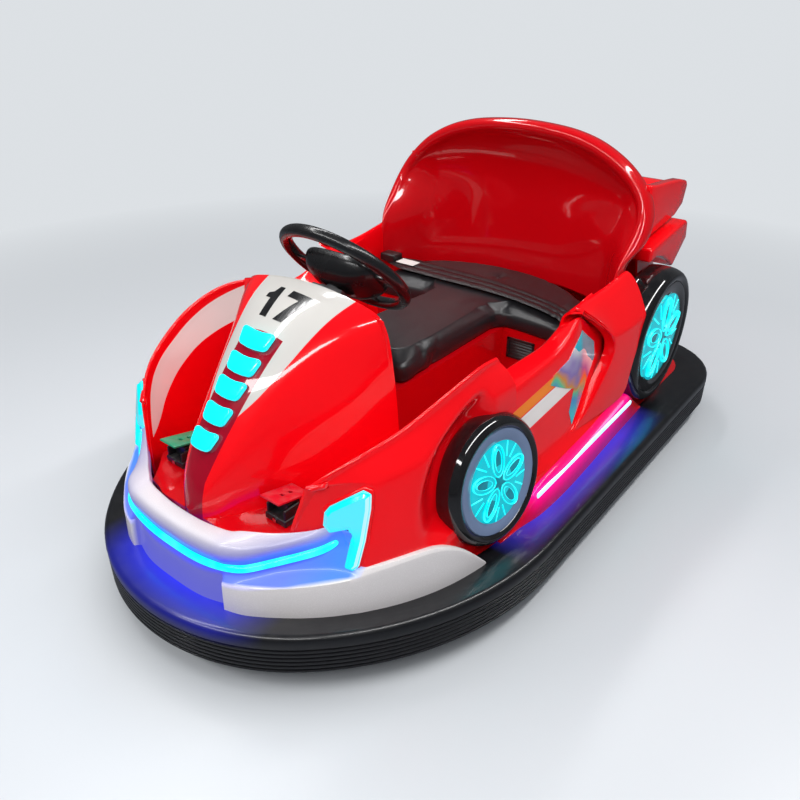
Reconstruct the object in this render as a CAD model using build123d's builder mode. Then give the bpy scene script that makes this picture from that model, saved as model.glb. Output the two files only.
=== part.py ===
from build123d import *
import os
from math import cos, sin, radians, atan2, degrees

# Bumper car, millimetres. The front faces -Y, the driver's left is +X, up is +Z.
# The origin is on the floor under the centre of the bumper ring's plan.

# ---------------------------------------------------------------- driving dimensions
RING_HALF_WIDTH = 575.0        # half the width over the rubber ring
RING_REAR_Y = 946.0            # rear edge of the ring
RING_STRAIGHT_FRONT_Y = -302.0  # where the straight sides meet the front side arcs
RING_SIDE_RADIUS = 719.0
RING_NOSE_RADIUS = 500.0
RING_NOSE_Y = -467.0           # centre of the nose arc
RING_REAR_CORNER = 250.0
RING_BAND = 100.0              # width of the rubber seen from above
RING_BOTTOM = 56.0
DECK = 156.0                   # top of the ring, where the body stands
RIB_DEPTH = 3.0
RIB_HEIGHT = 4.5
RIB_PITCH = 10.5
RIB_COUNT = 6

SKIN = 8.0                     # moulded shell thickness
RAIL = 40.0                    # square chassis tube
RAIL_TOP = DECK - SKIN         # the floor lies on the rails, level with the deck
RAIL_BOTTOM = RAIL_TOP - RAIL
SIDE_RAIL_X = 300.0
FRONT_CROSS_Y = -780.0
MID_CROSS_Y = -400.0
SEAT_CROSS_Y = 180.0
REAR_CROSS_Y = 760.0
INNER_RAIL_X = 145.0

DRIVE_Y = -580.0               # swivel axis of the driven front wheel
DRIVE_RADIUS = 100.0
DRIVE_WIDTH = 50.0
REAR_AXLE_Y = 450.0
REAR_RADIUS = 70.0
REAR_WIDTH = 40.0
REAR_WHEEL_X = 352.0
AXLE_RADIUS = 12.0
RUN_FIT = 0.05                 # radial clearance of a shaft in its bearing

WHEEL_CENTRE_Y = -327.0        # steering wheel centre
WHEEL_CENTRE_Z = 679.0
WHEEL_TILT = 46.0              # steering axis from the vertical, leaning to the seat
RIM_RADIUS = 153.0             # to the middle of the rim tube
RIM_TUBE = 13.0

FRONT_DISC = (469.0, -371.0, 317.0)      # face centre of the moulded front wheels
FRONT_DISC_NORMAL = (0.982, -0.108, 0.151)
FRONT_TYRE_RADIUS = 153.0
FRONT_TYRE_WIDTH = 62.0
REAR_DISC = (493.0, 472.0, 363.0)
REAR_TYRE_RADIUS = 200.0
REAR_TYRE_WIDTH = 98.0

CUSHION_TOP = 465.0
CUSHION_BOTTOM = 400.0
HOOD_REAR_Y = -440.0
QUARTER_REAR_Y = 292.0

os.makedirs("parts", exist_ok=True)


def save(part, label):
    """Label a finished piece and write its STEP file."""
    part.label = label
    export_step(part, f"parts/{label}.step")


def mirrored(part):
    """The same piece for the car's right-hand side."""
    return mirror(part, about=Plane.YZ)


# ---------------------------------------------------------------- bumper ring
NOSE_ANGLE = degrees(atan2(RING_NOSE_Y - RING_STRAIGHT_FRONT_Y, RING_SIDE_RADIUS - RING_HALF_WIDTH))


def ring_outline(inset):
    """Closed plan outline of the ring, moved inwards by inset, inside a BuildLine."""
    side_x = RING_HALF_WIDTH - inset
    rear_y = RING_REAR_Y - inset
    corner = RING_REAR_CORNER - inset
    corner_y = RING_REAR_Y - RING_REAR_CORNER
    corner_x = RING_HALF_WIDTH - RING_REAR_CORNER
    side_arc_x = RING_HALF_WIDTH - RING_SIDE_RADIUS
    side_r = RING_SIDE_RADIUS - inset
    Line((side_x, RING_STRAIGHT_FRONT_Y), (side_x, corner_y))
    CenterArc((corner_x, corner_y), corner, 0, 90)
    Line((corner_x, rear_y), (-corner_x, rear_y))
    CenterArc((-corner_x, corner_y), corner, 90, 90)
    Line((-side_x, corner_y), (-side_x, RING_STRAIGHT_FRONT_Y))
    CenterArc((-side_arc_x, RING_STRAIGHT_FRONT_Y), side_r, 180, -NOSE_ANGLE)
    CenterArc((0, RING_NOSE_Y), RING_NOSE_RADIUS - inset, 180 - NOSE_ANGLE, 180 + 2 * NOSE_ANGLE)
    CenterArc((side_arc_x, RING_STRAIGHT_FRONT_Y), side_r, NOSE_ANGLE, -NOSE_ANGLE)


def make_bumper_ring():
    """Solid rubber ring with a rounded top edge and fine ribs round its wall."""
    with BuildPart() as ring:
        with BuildSketch(Plane.XY.offset(RING_BOTTOM)):
            with BuildLine():
                ring_outline(0)
            make_face()
        extrude(amount=DECK - RING_BOTTOM)
        top = ring.faces().sort_by(Axis.Z)[-1]
        fillet(top.edges(), radius=14)
        bottom = ring.faces().sort_by(Axis.Z)[0]
        chamfer(bottom.edges(), length=9)
        with BuildSketch(Plane.XY.offset(RING_BOTTOM)):
            with BuildLine():
                ring_outline(RING_BAND)
            make_face()
        extrude(amount=DECK - RING_BOTTOM, mode=Mode.SUBTRACT)
        for rib in range(RIB_COUNT):
            z = RING_BOTTOM + 14 + rib * RIB_PITCH
            with BuildSketch(Plane.XY.offset(z)):
                with BuildLine():
                    ring_outline(-5)
                make_face()
                with BuildLine():
                    ring_outline(RIB_DEPTH)
                make_face(mode=Mode.SUBTRACT)
            extrude(amount=RIB_HEIGHT, mode=Mode.SUBTRACT)
    save(ring.part, "bumper_ring")


# ---------------------------------------------------------------- chassis
def make_chassis():
    """Welded square-tube frame that carries the ring, the body and the running gear."""
    long_rail = REAR_CROSS_Y - MID_CROSS_Y + RAIL
    rail_mid = (REAR_CROSS_Y + MID_CROSS_Y) / 2
    front_reach = FRONT_CROSS_Y - (RING_NOSE_Y - RING_NOSE_RADIUS + RING_BAND)
    arm_reach = RING_HALF_WIDTH - RING_BAND
    tubes = (
        # centre x, centre y, size x, size y
        (SIDE_RAIL_X, rail_mid, RAIL, long_rail),
        (-SIDE_RAIL_X, rail_mid, RAIL, long_rail),
        (0, FRONT_CROSS_Y, 2 * INNER_RAIL_X + RAIL, RAIL),
        (0, FRONT_CROSS_Y - front_reach / 2, RAIL, front_reach - 1),
        (0, MID_CROSS_Y, 2 * arm_reach - 26, RAIL),
        (0, SEAT_CROSS_Y, 2 * arm_reach, RAIL),
        (0, REAR_CROSS_Y, 2 * SIDE_RAIL_X, RAIL),
        (INNER_RAIL_X, (FRONT_CROSS_Y + MID_CROSS_Y) / 2, RAIL, MID_CROSS_Y - FRONT_CROSS_Y),
        (-INNER_RAIL_X, (FRONT_CROSS_Y + MID_CROSS_Y) / 2, RAIL, MID_CROSS_Y - FRONT_CROSS_Y),
        (0, (RING_REAR_Y - RING_BAND + REAR_CROSS_Y) / 2, RAIL, RING_REAR_Y - RING_BAND - REAR_CROSS_Y),
    )
    with BuildPart() as frame:
        for x, y, size_x, size_y in tubes:
            with Locations((x, y, RAIL_BOTTOM + RAIL / 2)):
                Box(size_x, size_y, RAIL)
    save(frame.part, "chassis_frame")


POST_X = 145.0
POST_SIZE = 24.0
BRIDGE_BOTTOM = 262.0
BRIDGE_THICK = 12.0
STEM_RADIUS = 16.0


def make_drive_bridge():
    """Steel arch on the chassis with the swivel bearing of the driven wheel."""
    with BuildPart() as bridge:
        for side in (-1, 1):
            with Locations((side * POST_X, DRIVE_Y, (RAIL_TOP + BRIDGE_BOTTOM) / 2)):
                Box(POST_SIZE, 50, BRIDGE_BOTTOM - RAIL_TOP)
        with Locations((0, DRIVE_Y, BRIDGE_BOTTOM + BRIDGE_THICK / 2)):
            Box(2 * POST_X + POST_SIZE, 90, BRIDGE_THICK)
        with BuildSketch(Plane.XY.offset(BRIDGE_BOTTOM + BRIDGE_THICK)):
            with Locations((0, DRIVE_Y)):
                Circle(36)
        extrude(amount=24)
        with BuildSketch(Plane.XY.offset(BRIDGE_BOTTOM)):
            with Locations((0, DRIVE_Y)):
                Circle(STEM_RADIUS + RUN_FIT)
        extrude(amount=60, mode=Mode.SUBTRACT)
    save(bridge.part, "drive_bridge")


CROWN_BOTTOM = 222.0
CROWN_TOP = 240.0
FORK_X = 62.0
FORK_THICK = 10.0
STEM_TOP = 405.0


def make_drive_fork():
    """Fork that carries the motor wheel and turns in the bridge's bearing."""
    with BuildPart() as fork:
        with BuildSketch(Plane.XY.offset(CROWN_BOTTOM)):
            with Locations((0, DRIVE_Y)):
                RectangleRounded(2 * FORK_X + FORK_THICK, 60, 10)
        extrude(amount=CROWN_TOP - CROWN_BOTTOM)
        for side in (-1, 1):
            with Locations((side * FORK_X, DRIVE_Y, (CROWN_BOTTOM + DRIVE_RADIUS - 24) / 2)):
                Box(FORK_THICK, 44, CROWN_BOTTOM - DRIVE_RADIUS + 24)
        with BuildSketch(Plane.XY.offset(CROWN_TOP)):
            with Locations((0, DRIVE_Y)):
                Circle(34)
        extrude(amount=BRIDGE_BOTTOM - CROWN_TOP - 1)
        with BuildSketch(Plane.XY.offset(CROWN_TOP)):
            with Locations((0, DRIVE_Y)):
                Circle(STEM_RADIUS)
        extrude(amount=STEM_TOP - CROWN_TOP)
        with BuildSketch(Plane.YZ.offset(-100)):
            with Locations((DRIVE_Y, DRIVE_RADIUS)):
                Circle(AXLE_RADIUS + RUN_FIT)
        extrude(amount=200, mode=Mode.SUBTRACT)
    save(fork.part, "drive_fork")


def make_drive_wheel():
    """Driven front wheel: solid tyre on a hub motor with its axle stubs."""
    wheel_steps = (
        # radius, half width
        (DRIVE_RADIUS, DRIVE_WIDTH / 2),
        (62.0, 46.0),
        (26.0, 54.0),
        (AXLE_RADIUS, FORK_X + FORK_THICK),
    )
    with BuildPart() as wheel:
        for radius, half in wheel_steps:
            with BuildSketch(Plane.YZ.offset(-half)):
                with Locations((DRIVE_Y, DRIVE_RADIUS)):
                    Circle(radius)
            extrude(amount=2 * half)
        rim = wheel.edges().filter_by(GeomType.CIRCLE).sort_by(SortBy.RADIUS)[-2:]
        fillet(rim, radius=7)
    save(wheel.part, "drive_wheel")


def make_rear_axle():
    """Fixed rear axle bar with its saddles under the side rails."""
    with BuildPart() as axle:
        with BuildSketch(Plane.YZ.offset(-REAR_WHEEL_X - 26)):
            with Locations((REAR_AXLE_Y, REAR_RADIUS)):
                Circle(AXLE_RADIUS)
        extrude(amount=2 * REAR_WHEEL_X + 52)
        for side in (-1, 1):
            with Locations((side * SIDE_RAIL_X, REAR_AXLE_Y, (RAIL_BOTTOM + REAR_RADIUS - 18) / 2)):
                Box(RAIL, 60, RAIL_BOTTOM - REAR_RADIUS + 18)
    save(axle.part, "rear_axle")


def make_rear_wheels():
    """Two free-rolling rear road wheels."""
    with BuildPart() as wheel:
        with BuildSketch(Plane.YZ.offset(REAR_WHEEL_X - REAR_WIDTH / 2)):
            with Locations((REAR_AXLE_Y, REAR_RADIUS)):
                Circle(REAR_RADIUS)
        extrude(amount=REAR_WIDTH)
        fillet(wheel.edges().filter_by(GeomType.CIRCLE), radius=6)
        with BuildSketch(Plane.YZ.offset(REAR_WHEEL_X - REAR_WIDTH / 2 - 3)):
            with Locations((REAR_AXLE_Y, REAR_RADIUS)):
                Circle(30)
        extrude(amount=REAR_WIDTH + 6)
        with BuildSketch(Plane.YZ.offset(REAR_WHEEL_X - REAR_WIDTH)):
            with Locations((REAR_AXLE_Y, REAR_RADIUS)):
                Circle(AXLE_RADIUS + RUN_FIT)
        extrude(amount=2 * REAR_WIDTH, mode=Mode.SUBTRACT)
    save(wheel.part, "rear_wheel_left")
    save(mirrored(wheel.part), "rear_wheel_right")


# ---------------------------------------------------------------- floor and hood
TOE_PROFILE = ((-818.0, 284.0), (-716.0, 290.0), (-560.0, DECK))
TOE_HALF_WIDTH = 232.0


def make_floor_pan(lip):
    """Moulded floor over the chassis, rising to a toe board in front."""
    underside = [(y, z - SKIN) for y, z in reversed(TOE_PROFILE)]
    with BuildPart() as pan:
        with BuildSketch(Plane.XY.offset(RAIL_TOP)):
            with BuildLine():
                ring_outline(RING_BAND)
            make_face()
        extrude(amount=SKIN)
        with BuildSketch(Plane.YZ.offset(-TOE_HALF_WIDTH)):
            with BuildLine():
                Polyline(*TOE_PROFILE, *underside, close=True)
            make_face()
        extrude(amount=2 * TOE_HALF_WIDTH)
        with BuildSketch(Plane.XY.offset(RAIL_BOTTOM)):
            with Locations((0, DRIVE_Y)):
                Circle(120)
        extrude(amount=300, mode=Mode.SUBTRACT)
        for side in (-1, 1):
            with Locations((side * POST_X, DRIVE_Y, 200)):
                Box(POST_SIZE + 4, 54, 200, mode=Mode.SUBTRACT)
        add(lip, mode=Mode.SUBTRACT)
    whole = pan.part.solids().sort_by(SortBy.VOLUME)[-1]
    save(whole, "floor_pan")
    return whole


HOOD_SECTIONS = (
    # y, crown z, shoulder x, shoulder z, side x, side z, foot x
    (-440.0, 680.0, 214.0, 648.0, 236.0, 520.0, 240.0),
    (-500.0, 664.0, 166.0, 634.0, 219.0, 470.0, 234.0),
    (-560.0, 632.0, 124.0, 598.0, 192.0, 420.0, 222.0),
    (-636.0, 572.0, 96.0, 538.0, 142.0, 380.0, 172.0),
    (-706.0, 500.0, 76.0, 466.0, 106.0, 350.0, 128.0),
    (-766.0, 432.0, 60.0, 402.0, 82.0, 310.0, 98.0),
    (-806.0, 366.0, 42.0, 338.0, 54.0, 280.0, 66.0),
    (-822.0, 310.0, 20.0, 298.0, 26.0, 260.0, 34.0),
)


def hood_solid(inset):
    """Loft of the central hump with its skin moved inwards by inset."""
    with BuildPart() as hump:
        for y, crown, shoulder_x, shoulder_z, side_x, side_z, foot_x in HOOD_SECTIONS:
            shoulder = (shoulder_x - inset, shoulder_z - inset)
            side = (side_x - inset, side_z - inset / 2)
            foot = (foot_x - inset, DECK)
            with BuildSketch(Plane.XZ.offset(-y)):
                with BuildLine():
                    ThreePointArc((-shoulder[0], shoulder[1]), (0, crown - inset), shoulder)
                    ThreePointArc(shoulder, side, foot)
                    Line(foot, (-foot[0], foot[1]))
                    ThreePointArc((-foot[0], foot[1]), (-side[0], side[1]), (-shoulder[0], shoulder[1]))
                make_face()
        loft(ruled=False)
    return hump.part


def below_toe_board():
    """Everything under the toe board's top, to trim what stands on it."""
    with BuildPart() as under:
        with BuildSketch(Plane.YZ.offset(-300)):
            with BuildLine():
                Polyline((-900, 0), (-900, TOE_PROFILE[0][1]), *TOE_PROFILE, (200, DECK), (200, 0), close=True)
            make_face()
        extrude(amount=600)
    return under.part


def make_nose_hood():
    """Hollow central hump between the two leg wells, with its rear dash wall."""
    core = hood_solid(SKIN)
    with BuildPart() as cavity:
        add(core)
        with Locations((0, HOOD_REAR_Y, 400)):
            Box(600, 2 * SKIN, 600, mode=Mode.SUBTRACT)
        with Locations((0, -870, 400)):
            Box(600, 120, 600, mode=Mode.SUBTRACT)
    with BuildPart() as hood:
        add(hood_solid(0))
        add(below_toe_board(), mode=Mode.SUBTRACT)
        add(cavity.part, mode=Mode.SUBTRACT)
        with BuildSketch(COLUMN_PLANE):
            Circle(30)
        extrude(amount=-400, mode=Mode.SUBTRACT)
    save(hood.part, "nose_hood")


# ---------------------------------------------------------------- front wings and side walls
def tilted(centre, normal):
    """Plane on a wheel face, its x axis level along the car."""
    return Plane(origin=centre, x_dir=(-normal[1], normal[0], 0), z_dir=normal)


FRONT_DISC_PLANE = tilted(FRONT_DISC, FRONT_DISC_NORMAL)
REAR_DISC_PLANE = tilted(REAR_DISC, (1, 0, 0))
ARCH_GAP = 1.0

POD_SECTIONS = (
    # y, foot x, wall x, wall z, ridge x, ridge z, slope x, slope z, shoulder x, shoulder z, side x, side z, low x
    (-776.0, 228.0, 222.0, 294.0, 234.0, 364.0, 285.0, 396.0, 340.0, 398.0, 352.0, 330.0, 356.0),
    (-738.0, 238.0, 238.0, 312.0, 257.0, 414.0, 305.0, 430.0, 352.0, 418.0, 362.0, 340.0, 364.0),
    (-703.0, 248.0, 262.0, 330.0, 292.0, 450.0, 330.0, 453.0, 364.0, 432.0, 376.0, 350.0, 380.0),
    (-656.0, 266.0, 296.0, 350.0, 327.0, 478.0, 356.0, 468.0, 382.0, 440.0, 398.0, 350.0, 404.0),
    (-582.0, 292.0, 326.0, 370.0, 362.0, 506.0, 388.0, 484.0, 408.0, 454.0, 430.0, 350.0, 440.0),
    (-512.0, 314.0, 345.0, 385.0, 380.0, 536.0, 402.0, 502.0, 422.0, 470.0, 442.0, 352.0, 454.0),
    (-428.0, 330.0, 358.0, 395.0, 391.0, 558.0, 409.0, 522.0, 424.0, 486.0, 442.0, 356.0, 456.0),
    (-350.0, 338.0, 362.0, 400.0, 389.0, 566.0, 410.0, 532.0, 428.0, 497.0, 444.0, 370.0, 460.0),
    (-287.0, 343.0, 360.0, 400.0, 384.0, 556.0, 408.0, 527.0, 430.0, 495.0, 440.0, 380.0, 466.0),
    (-268.0, 344.0, 352.0, 400.0, 372.0, 506.0, 402.0, 504.0, 430.0, 489.0, 440.0, 384.0, 466.0),
)
NOSE_FACE_POINT = (224.0, -766.0, 302.0)     # on the slanted front face of the left wing
NOSE_FACE_NORMAL = (0.307, -0.883, 0.356)


def arch_cut(plane, radius, depth, reach=120):
    """Cylinder that clears a moulded wheel out of the bodywork."""
    with BuildPart() as cut:
        with BuildSketch(plane.offset(-depth)):
            Circle(radius)
        extrude(amount=depth + reach)
    return cut.part


def make_front_pods(*neighbours):
    """Front wings that carry the headlights and wrap the moulded front wheels."""
    with BuildPart() as pod:
        for y, fx, wx, wz, rx, rz, px, pz, sx, sz, mx, mz, lx in POD_SECTIONS:
            with BuildSketch(Plane.XZ.offset(-y)):
                with BuildLine():
                    Polyline((lx, DECK), (fx, DECK), (wx, wz), (rx, rz), (px, pz), (sx, sz), (mx, mz), close=True)
                make_face()
        loft(ruled=True)
        with BuildSketch(Plane(origin=NOSE_FACE_POINT, z_dir=NOSE_FACE_NORMAL)):
            Rectangle(900, 900)
        extrude(amount=200, mode=Mode.SUBTRACT)
        add(arch_cut(FRONT_DISC_PLANE, FRONT_TYRE_RADIUS, FRONT_TYRE_WIDTH), mode=Mode.SUBTRACT)
        for neighbour in neighbours:
            add(neighbour, mode=Mode.SUBTRACT)
    whole = pod.part.solids().sort_by(SortBy.VOLUME)[-1]
    save(whole, "front_pod_left")
    save(mirrored(whole), "front_pod_right")


SIDE_SECTIONS = (
    # y, inner x, inner z, fold x, fold z, flank x, flank z, ledge x, ledge z, skirt x, skirt z
    (-268.0, 345.0, 480.0, 430.0, 489.0, 470.0, 440.0, 462.0, 276.0, 496.0, 232.0),
    (-164.0, 346.0, 479.0, 430.0, 495.0, 470.0, 444.0, 462.0, 276.0, 500.0, 252.0),
    (-36.0, 350.0, 478.0, 430.0, 507.0, 470.0, 450.0, 463.0, 277.0, 502.0, 255.0),
    (26.0, 360.0, 506.0, 431.0, 570.0, 470.0, 455.0, 466.0, 279.0, 500.0, 257.0),
    (94.0, 375.0, 579.0, 450.0, 523.0, 471.0, 460.0, 472.0, 281.0, 496.0, 260.0),
    (160.0, 382.0, 592.0, 471.0, 470.0, 476.0, 430.0, 480.0, 275.0, 493.0, 262.0),
    (240.0, 387.0, 602.0, 479.0, 472.0, 485.0, 420.0, 487.0, 272.0, 491.0, 263.0),
    (QUARTER_REAR_Y, 391.0, 607.0, 483.0, 480.0, 486.0, 420.0, 487.0, 268.0, 489.0, 262.0),
)
INSERT_THICK = 2.0
SKIRT_SPREAD = 5.0                # how far the skirt stands out at the deck
DOOR_X = 438.0                    # the door's surface, set in below the sill's fold
SCOOP_FRAME = (
    # y, z of the quarter's front edge, from the fold down to the ledge
    (26.0, 571.0), (94.0, 522.0), (155.0, 469.0), (179.0, 434.0), (103.0, 355.0), (33.0, 298.0), (-28.0, 281.0),
)
SKIRT_SHAPE = (
    # y, z of the skirt's upper edge, seen from the side
    (-372.0, DECK), (-320.0, 176.0), (-268.0, 226.0), (-268.0, DECK),
)


def make_side_walls(lip):
    """Sills, doors and rear quarters beside the seat, with a deep scoop behind each door."""
    with BuildPart() as wall:
        for y, ix, iz, fx, fz, mx, mz, lx, lz, sx, sz in SIDE_SECTIONS:
            with BuildSketch(Plane.XZ.offset(-y)):
                with BuildLine():
                    Polyline(
                        (ix, DECK), (ix, iz), (fx, fz), (mx, mz), (lx, lz), (sx, sz), (sx + SKIRT_SPREAD, DECK), close=True
                    )
                make_face()
        loft(ruled=True)
        with BuildSketch(Plane.YZ.offset(DOOR_X)):
            with BuildLine():
                Polyline((-300, 284), (-300, 640), (26, 640), *SCOOP_FRAME, close=True)
            make_face()
        extrude(amount=100, mode=Mode.SUBTRACT)
        with BuildSketch(Plane.YZ.offset(484)):
            with BuildLine():
                Polyline(*SKIRT_SHAPE, close=True)
            make_face()
        extrude(amount=16)
        add(arch_cut(FRONT_DISC_PLANE, FRONT_TYRE_RADIUS, FRONT_TYRE_WIDTH), mode=Mode.SUBTRACT)
        add(arch_cut(REAR_DISC_PLANE, REAR_TYRE_RADIUS + ARCH_GAP, REAR_TYRE_WIDTH), mode=Mode.SUBTRACT)
        add(lip, mode=Mode.SUBTRACT)
    save(wall.part, "side_wall_left")
    save(mirrored(wall.part), "side_wall_right")
    return wall.part


SCOOP_OUTLINE = (
    # y, z round the shiny insert that lines the scoop
    (-102.0, 455.0), (-30.0, 468.0), (0.0, 492.0), (36.0, 520.0), (118.0, 462.0), (120.0, 420.0), (54.0, 352.0),
    (-18.0, 292.0), (-30.0, 330.0), (-6.0, 384.0), (-50.0, 402.0), (-118.0, 436.0),
)


def make_scoops():
    """Pearly insert on the door's surface in the bottom of each side scoop."""
    with BuildPart() as insert:
        with BuildSketch(Plane.YZ.offset(DOOR_X)):
            with BuildLine():
                Polyline(*SCOOP_OUTLINE, close=True)
            make_face()
        extrude(amount=INSERT_THICK)
    save(insert.part + mirrored(insert.part), "scoop_inserts")


def make_trim_wheels():
    """Moulded dummy wheels on the body: glossy tyre rings and lit hubs, fixed."""
    wheels = (
        # name, plane, tyre radius, tyre width, ring radius, lit radius
        ("front", FRONT_DISC_PLANE, FRONT_TYRE_RADIUS, FRONT_TYRE_WIDTH, 122.0, 97.0),
        ("rear", REAR_DISC_PLANE, REAR_TYRE_RADIUS, REAR_TYRE_WIDTH, 164.0, 132.0),
    )
    for name, plane, radius, width, ring_radius, lit_radius in wheels:
        with BuildPart() as tyre:
            with BuildSketch(plane.offset(-width)):
                Circle(radius)
            extrude(amount=width)
            outer = tyre.faces().sort_by(Axis((0, 0, 0), FRONT_DISC_NORMAL))[-1]
            fillet(outer.edges(), radius=22)
            with BuildSketch(plane.offset(-26)):
                Circle(ring_radius)
            extrude(amount=40, mode=Mode.SUBTRACT)
            add(under_deck(), mode=Mode.SUBTRACT)
        save(tyre.part, f"trim_tyre_{name}_left")
        save(mirrored(tyre.part), f"trim_tyre_{name}_right")
        with BuildPart() as hub:
            with BuildSketch(plane.offset(-26)):
                Circle(ring_radius)
            extrude(amount=12)
            with BuildSketch(plane.offset(-14)):
                Circle(lit_radius)
            extrude(amount=8)
        save(hub.part, f"wheel_light_{name}_left")
        save(mirrored(hub.part), f"wheel_light_{name}_right")


def under_deck():
    """Everything below the deck, to trim what stands on it."""
    with BuildPart() as under:
        with Locations((0, 0, DECK / 2)):
            Box(1400, 2200, DECK)
    return under.part


# ---------------------------------------------------------------- silver front lip
LIP_STATIONS = (
    # x, y on the deck, then inset and height of the wall's top, the facet, the groove, the roll's
    # under edge, its crown and the inner edge
    (0.0, -892.0, 8.0, 206.0, 12.0, 232.0, 28.0, 248.0, 24.0, 268.0, 34.0, 294.0, 62.0, 303.0),
    (50.0, -892.0, 8.0, 206.0, 12.0, 233.0, 28.0, 249.0, 24.0, 268.0, 34.0, 294.0, 62.0, 303.0),
    (100.0, -887.0, 8.0, 208.0, 12.0, 234.0, 28.0, 251.0, 26.0, 268.0, 36.0, 294.0, 64.0, 303.0),
    (143.0, -872.0, 6.0, 212.0, 10.0, 238.0, 28.0, 256.0, 27.0, 270.0, 38.0, 296.0, 64.0, 305.0),
    (154.0, -884.0, 4.0, 212.0, 20.0, 240.0, 40.0, 258.0, 40.0, 271.0, 52.0, 297.0, 78.0, 306.0),
    (193.0, -873.0, 3.0, 214.0, 18.0, 242.0, 36.0, 261.0, 39.0, 276.0, 52.0, 299.0, 76.0, 308.0),
    (219.0, -857.0, 3.0, 216.0, 26.0, 246.0, 46.0, 263.0, 48.0, 280.0, 60.0, 300.0, 82.0, 307.0),
    (245.0, -840.0, 3.0, 219.0, 38.0, 250.0, 58.0, 266.0, 60.0, 281.0, 71.0, 298.0, 90.0, 304.0),
    (290.0, -807.0, 3.0, 226.0, 56.0, 256.0, 74.0, 270.0, 78.0, 280.0, 85.0, 288.0, 98.0, 291.0),
    (330.0, -770.0, 2.0, 238.0, 30.0, 252.0, 52.0, 258.0, 60.0, 259.0, 68.0, 259.0, 80.0, 258.0),
    (371.0, -724.0, 0.0, 251.0, 10.0, 257.0, 26.0, 256.0, 36.0, 254.0, 46.0, 252.0, 56.0, 250.0),
    (421.0, -655.0, 0.0, 262.0, 8.0, 268.0, 22.0, 266.0, 30.0, 263.0, 38.0, 260.0, 46.0, 256.0),
    (458.0, -578.0, 0.0, 266.0, 6.0, 272.0, 18.0, 270.0, 26.0, 266.0, 32.0, 262.0, 38.0, 256.0),
    (478.0, -515.0, 0.0, 236.0, 5.0, 240.0, 12.0, 238.0, 18.0, 234.0, 22.0, 230.0, 26.0, 224.0),
    (492.0, -448.0, 0.0, 162.0, 2.0, 163.5, 5.0, 163.0, 7.0, 162.0, 9.0, 161.0, 11.0, 160.0),
)
LIP_CREASE = (3, 4)               # the two stations either side of the chin's step


def lip_section(number):
    """Vertical section of the lip at one station, square to the deck line."""
    x, y, *pairs = LIP_STATIONS[number]
    if number == 0:
        along = Vector(1, 0, 0)
    elif number in LIP_CREASE:
        along = Vector(*LIP_STATIONS[LIP_CREASE[1] + 1][:2]) - Vector(*LIP_STATIONS[LIP_CREASE[0] - 1][:2])
    else:
        last = min(number + 1, len(LIP_STATIONS) - 1)
        along = Vector(*LIP_STATIONS[last][:2]) - Vector(*LIP_STATIONS[number - 1][:2])
    along = along.normalized()
    plane = Plane(origin=(x, y, 0), x_dir=(-along.Y, along.X, 0), z_dir=along)
    corners = list(zip(pairs[0::2], pairs[1::2]))
    with BuildSketch(plane) as section:
        with BuildLine():
            Polyline((0, DECK), *corners, (corners[-1][0], DECK), close=True)
        make_face()
    return section.sketch


def make_front_lip():
    """Pearl-white lip round the nose, with a groove for the light strip."""
    with BuildPart() as half:
        for number in range(len(LIP_STATIONS) - 1):
            loft([lip_section(number), lip_section(number + 1)], ruled=True)
    return half.part + mirrored(half.part)


# ---------------------------------------------------------------- seat
SEAT_ARC_RADIUS = 483.6
SEAT_ARC_Y = 8.4
BENCH_FRONT = 165.0
TONGUE_FRONT = -305.0
TONGUE_HALF = 146.0
BENCH_HALF = 343.0
BOX_SETBACK = 12.0                # the red box under the cushion stands back from its edge


def seat_plan(inset, front=BENCH_FRONT, tongue_front=TONGUE_FRONT, tongue=TONGUE_HALF, half=BENCH_HALF):
    """T-shaped plan of the seat with its curved rear edge, inside a BuildLine."""
    radius = SEAT_ARC_RADIUS - inset
    x = half - inset
    rear_y = SEAT_ARC_Y + (radius ** 2 - x ** 2) ** 0.5
    Polyline(
        (-x, rear_y), (-x, front + inset), (-tongue + inset, front + inset), (-tongue + inset, tongue_front + inset),
        (tongue - inset, tongue_front + inset), (tongue - inset, front + inset), (x, front + inset), (x, rear_y),
    )
    ThreePointArc((x, rear_y), (0, SEAT_ARC_Y + radius), (-x, rear_y))


def make_seat_base():
    """Red seat box under the cushion, reaching forward to the hood."""
    with BuildPart() as base:
        with BuildSketch(Plane.XY.offset(DECK)):
            with BuildLine():
                seat_plan(0, BENCH_FRONT + BOX_SETBACK, HOOD_REAR_Y + 0.5, TONGUE_HALF - BOX_SETBACK)
            make_face()
        extrude(amount=CUSHION_BOTTOM - DECK)
        with Locations((0, -60, DECK + 110)):
            Box(2 * (TONGUE_HALF - BOX_SETBACK - SKIN), 600, 220, mode=Mode.SUBTRACT)
        with Locations((0, 300, DECK + 110)):
            Box(2 * (BENCH_HALF - SKIN), 230, 220, mode=Mode.SUBTRACT)
    save(base.part, "seat_base")


def make_cushion():
    """Padded vinyl cushion, a wide bench with a tongue between the rider's legs."""
    with BuildPart() as cushion:
        with BuildSketch(Plane.XY.offset(CUSHION_BOTTOM)):
            with BuildLine():
                seat_plan(2)
            make_face()
        extrude(amount=CUSHION_TOP - CUSHION_BOTTOM)
        top = cushion.faces().sort_by(Axis.Z)[-1]
        fillet(top.edges(), radius=18)
    save(cushion.part, "seat_cushion")


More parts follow.
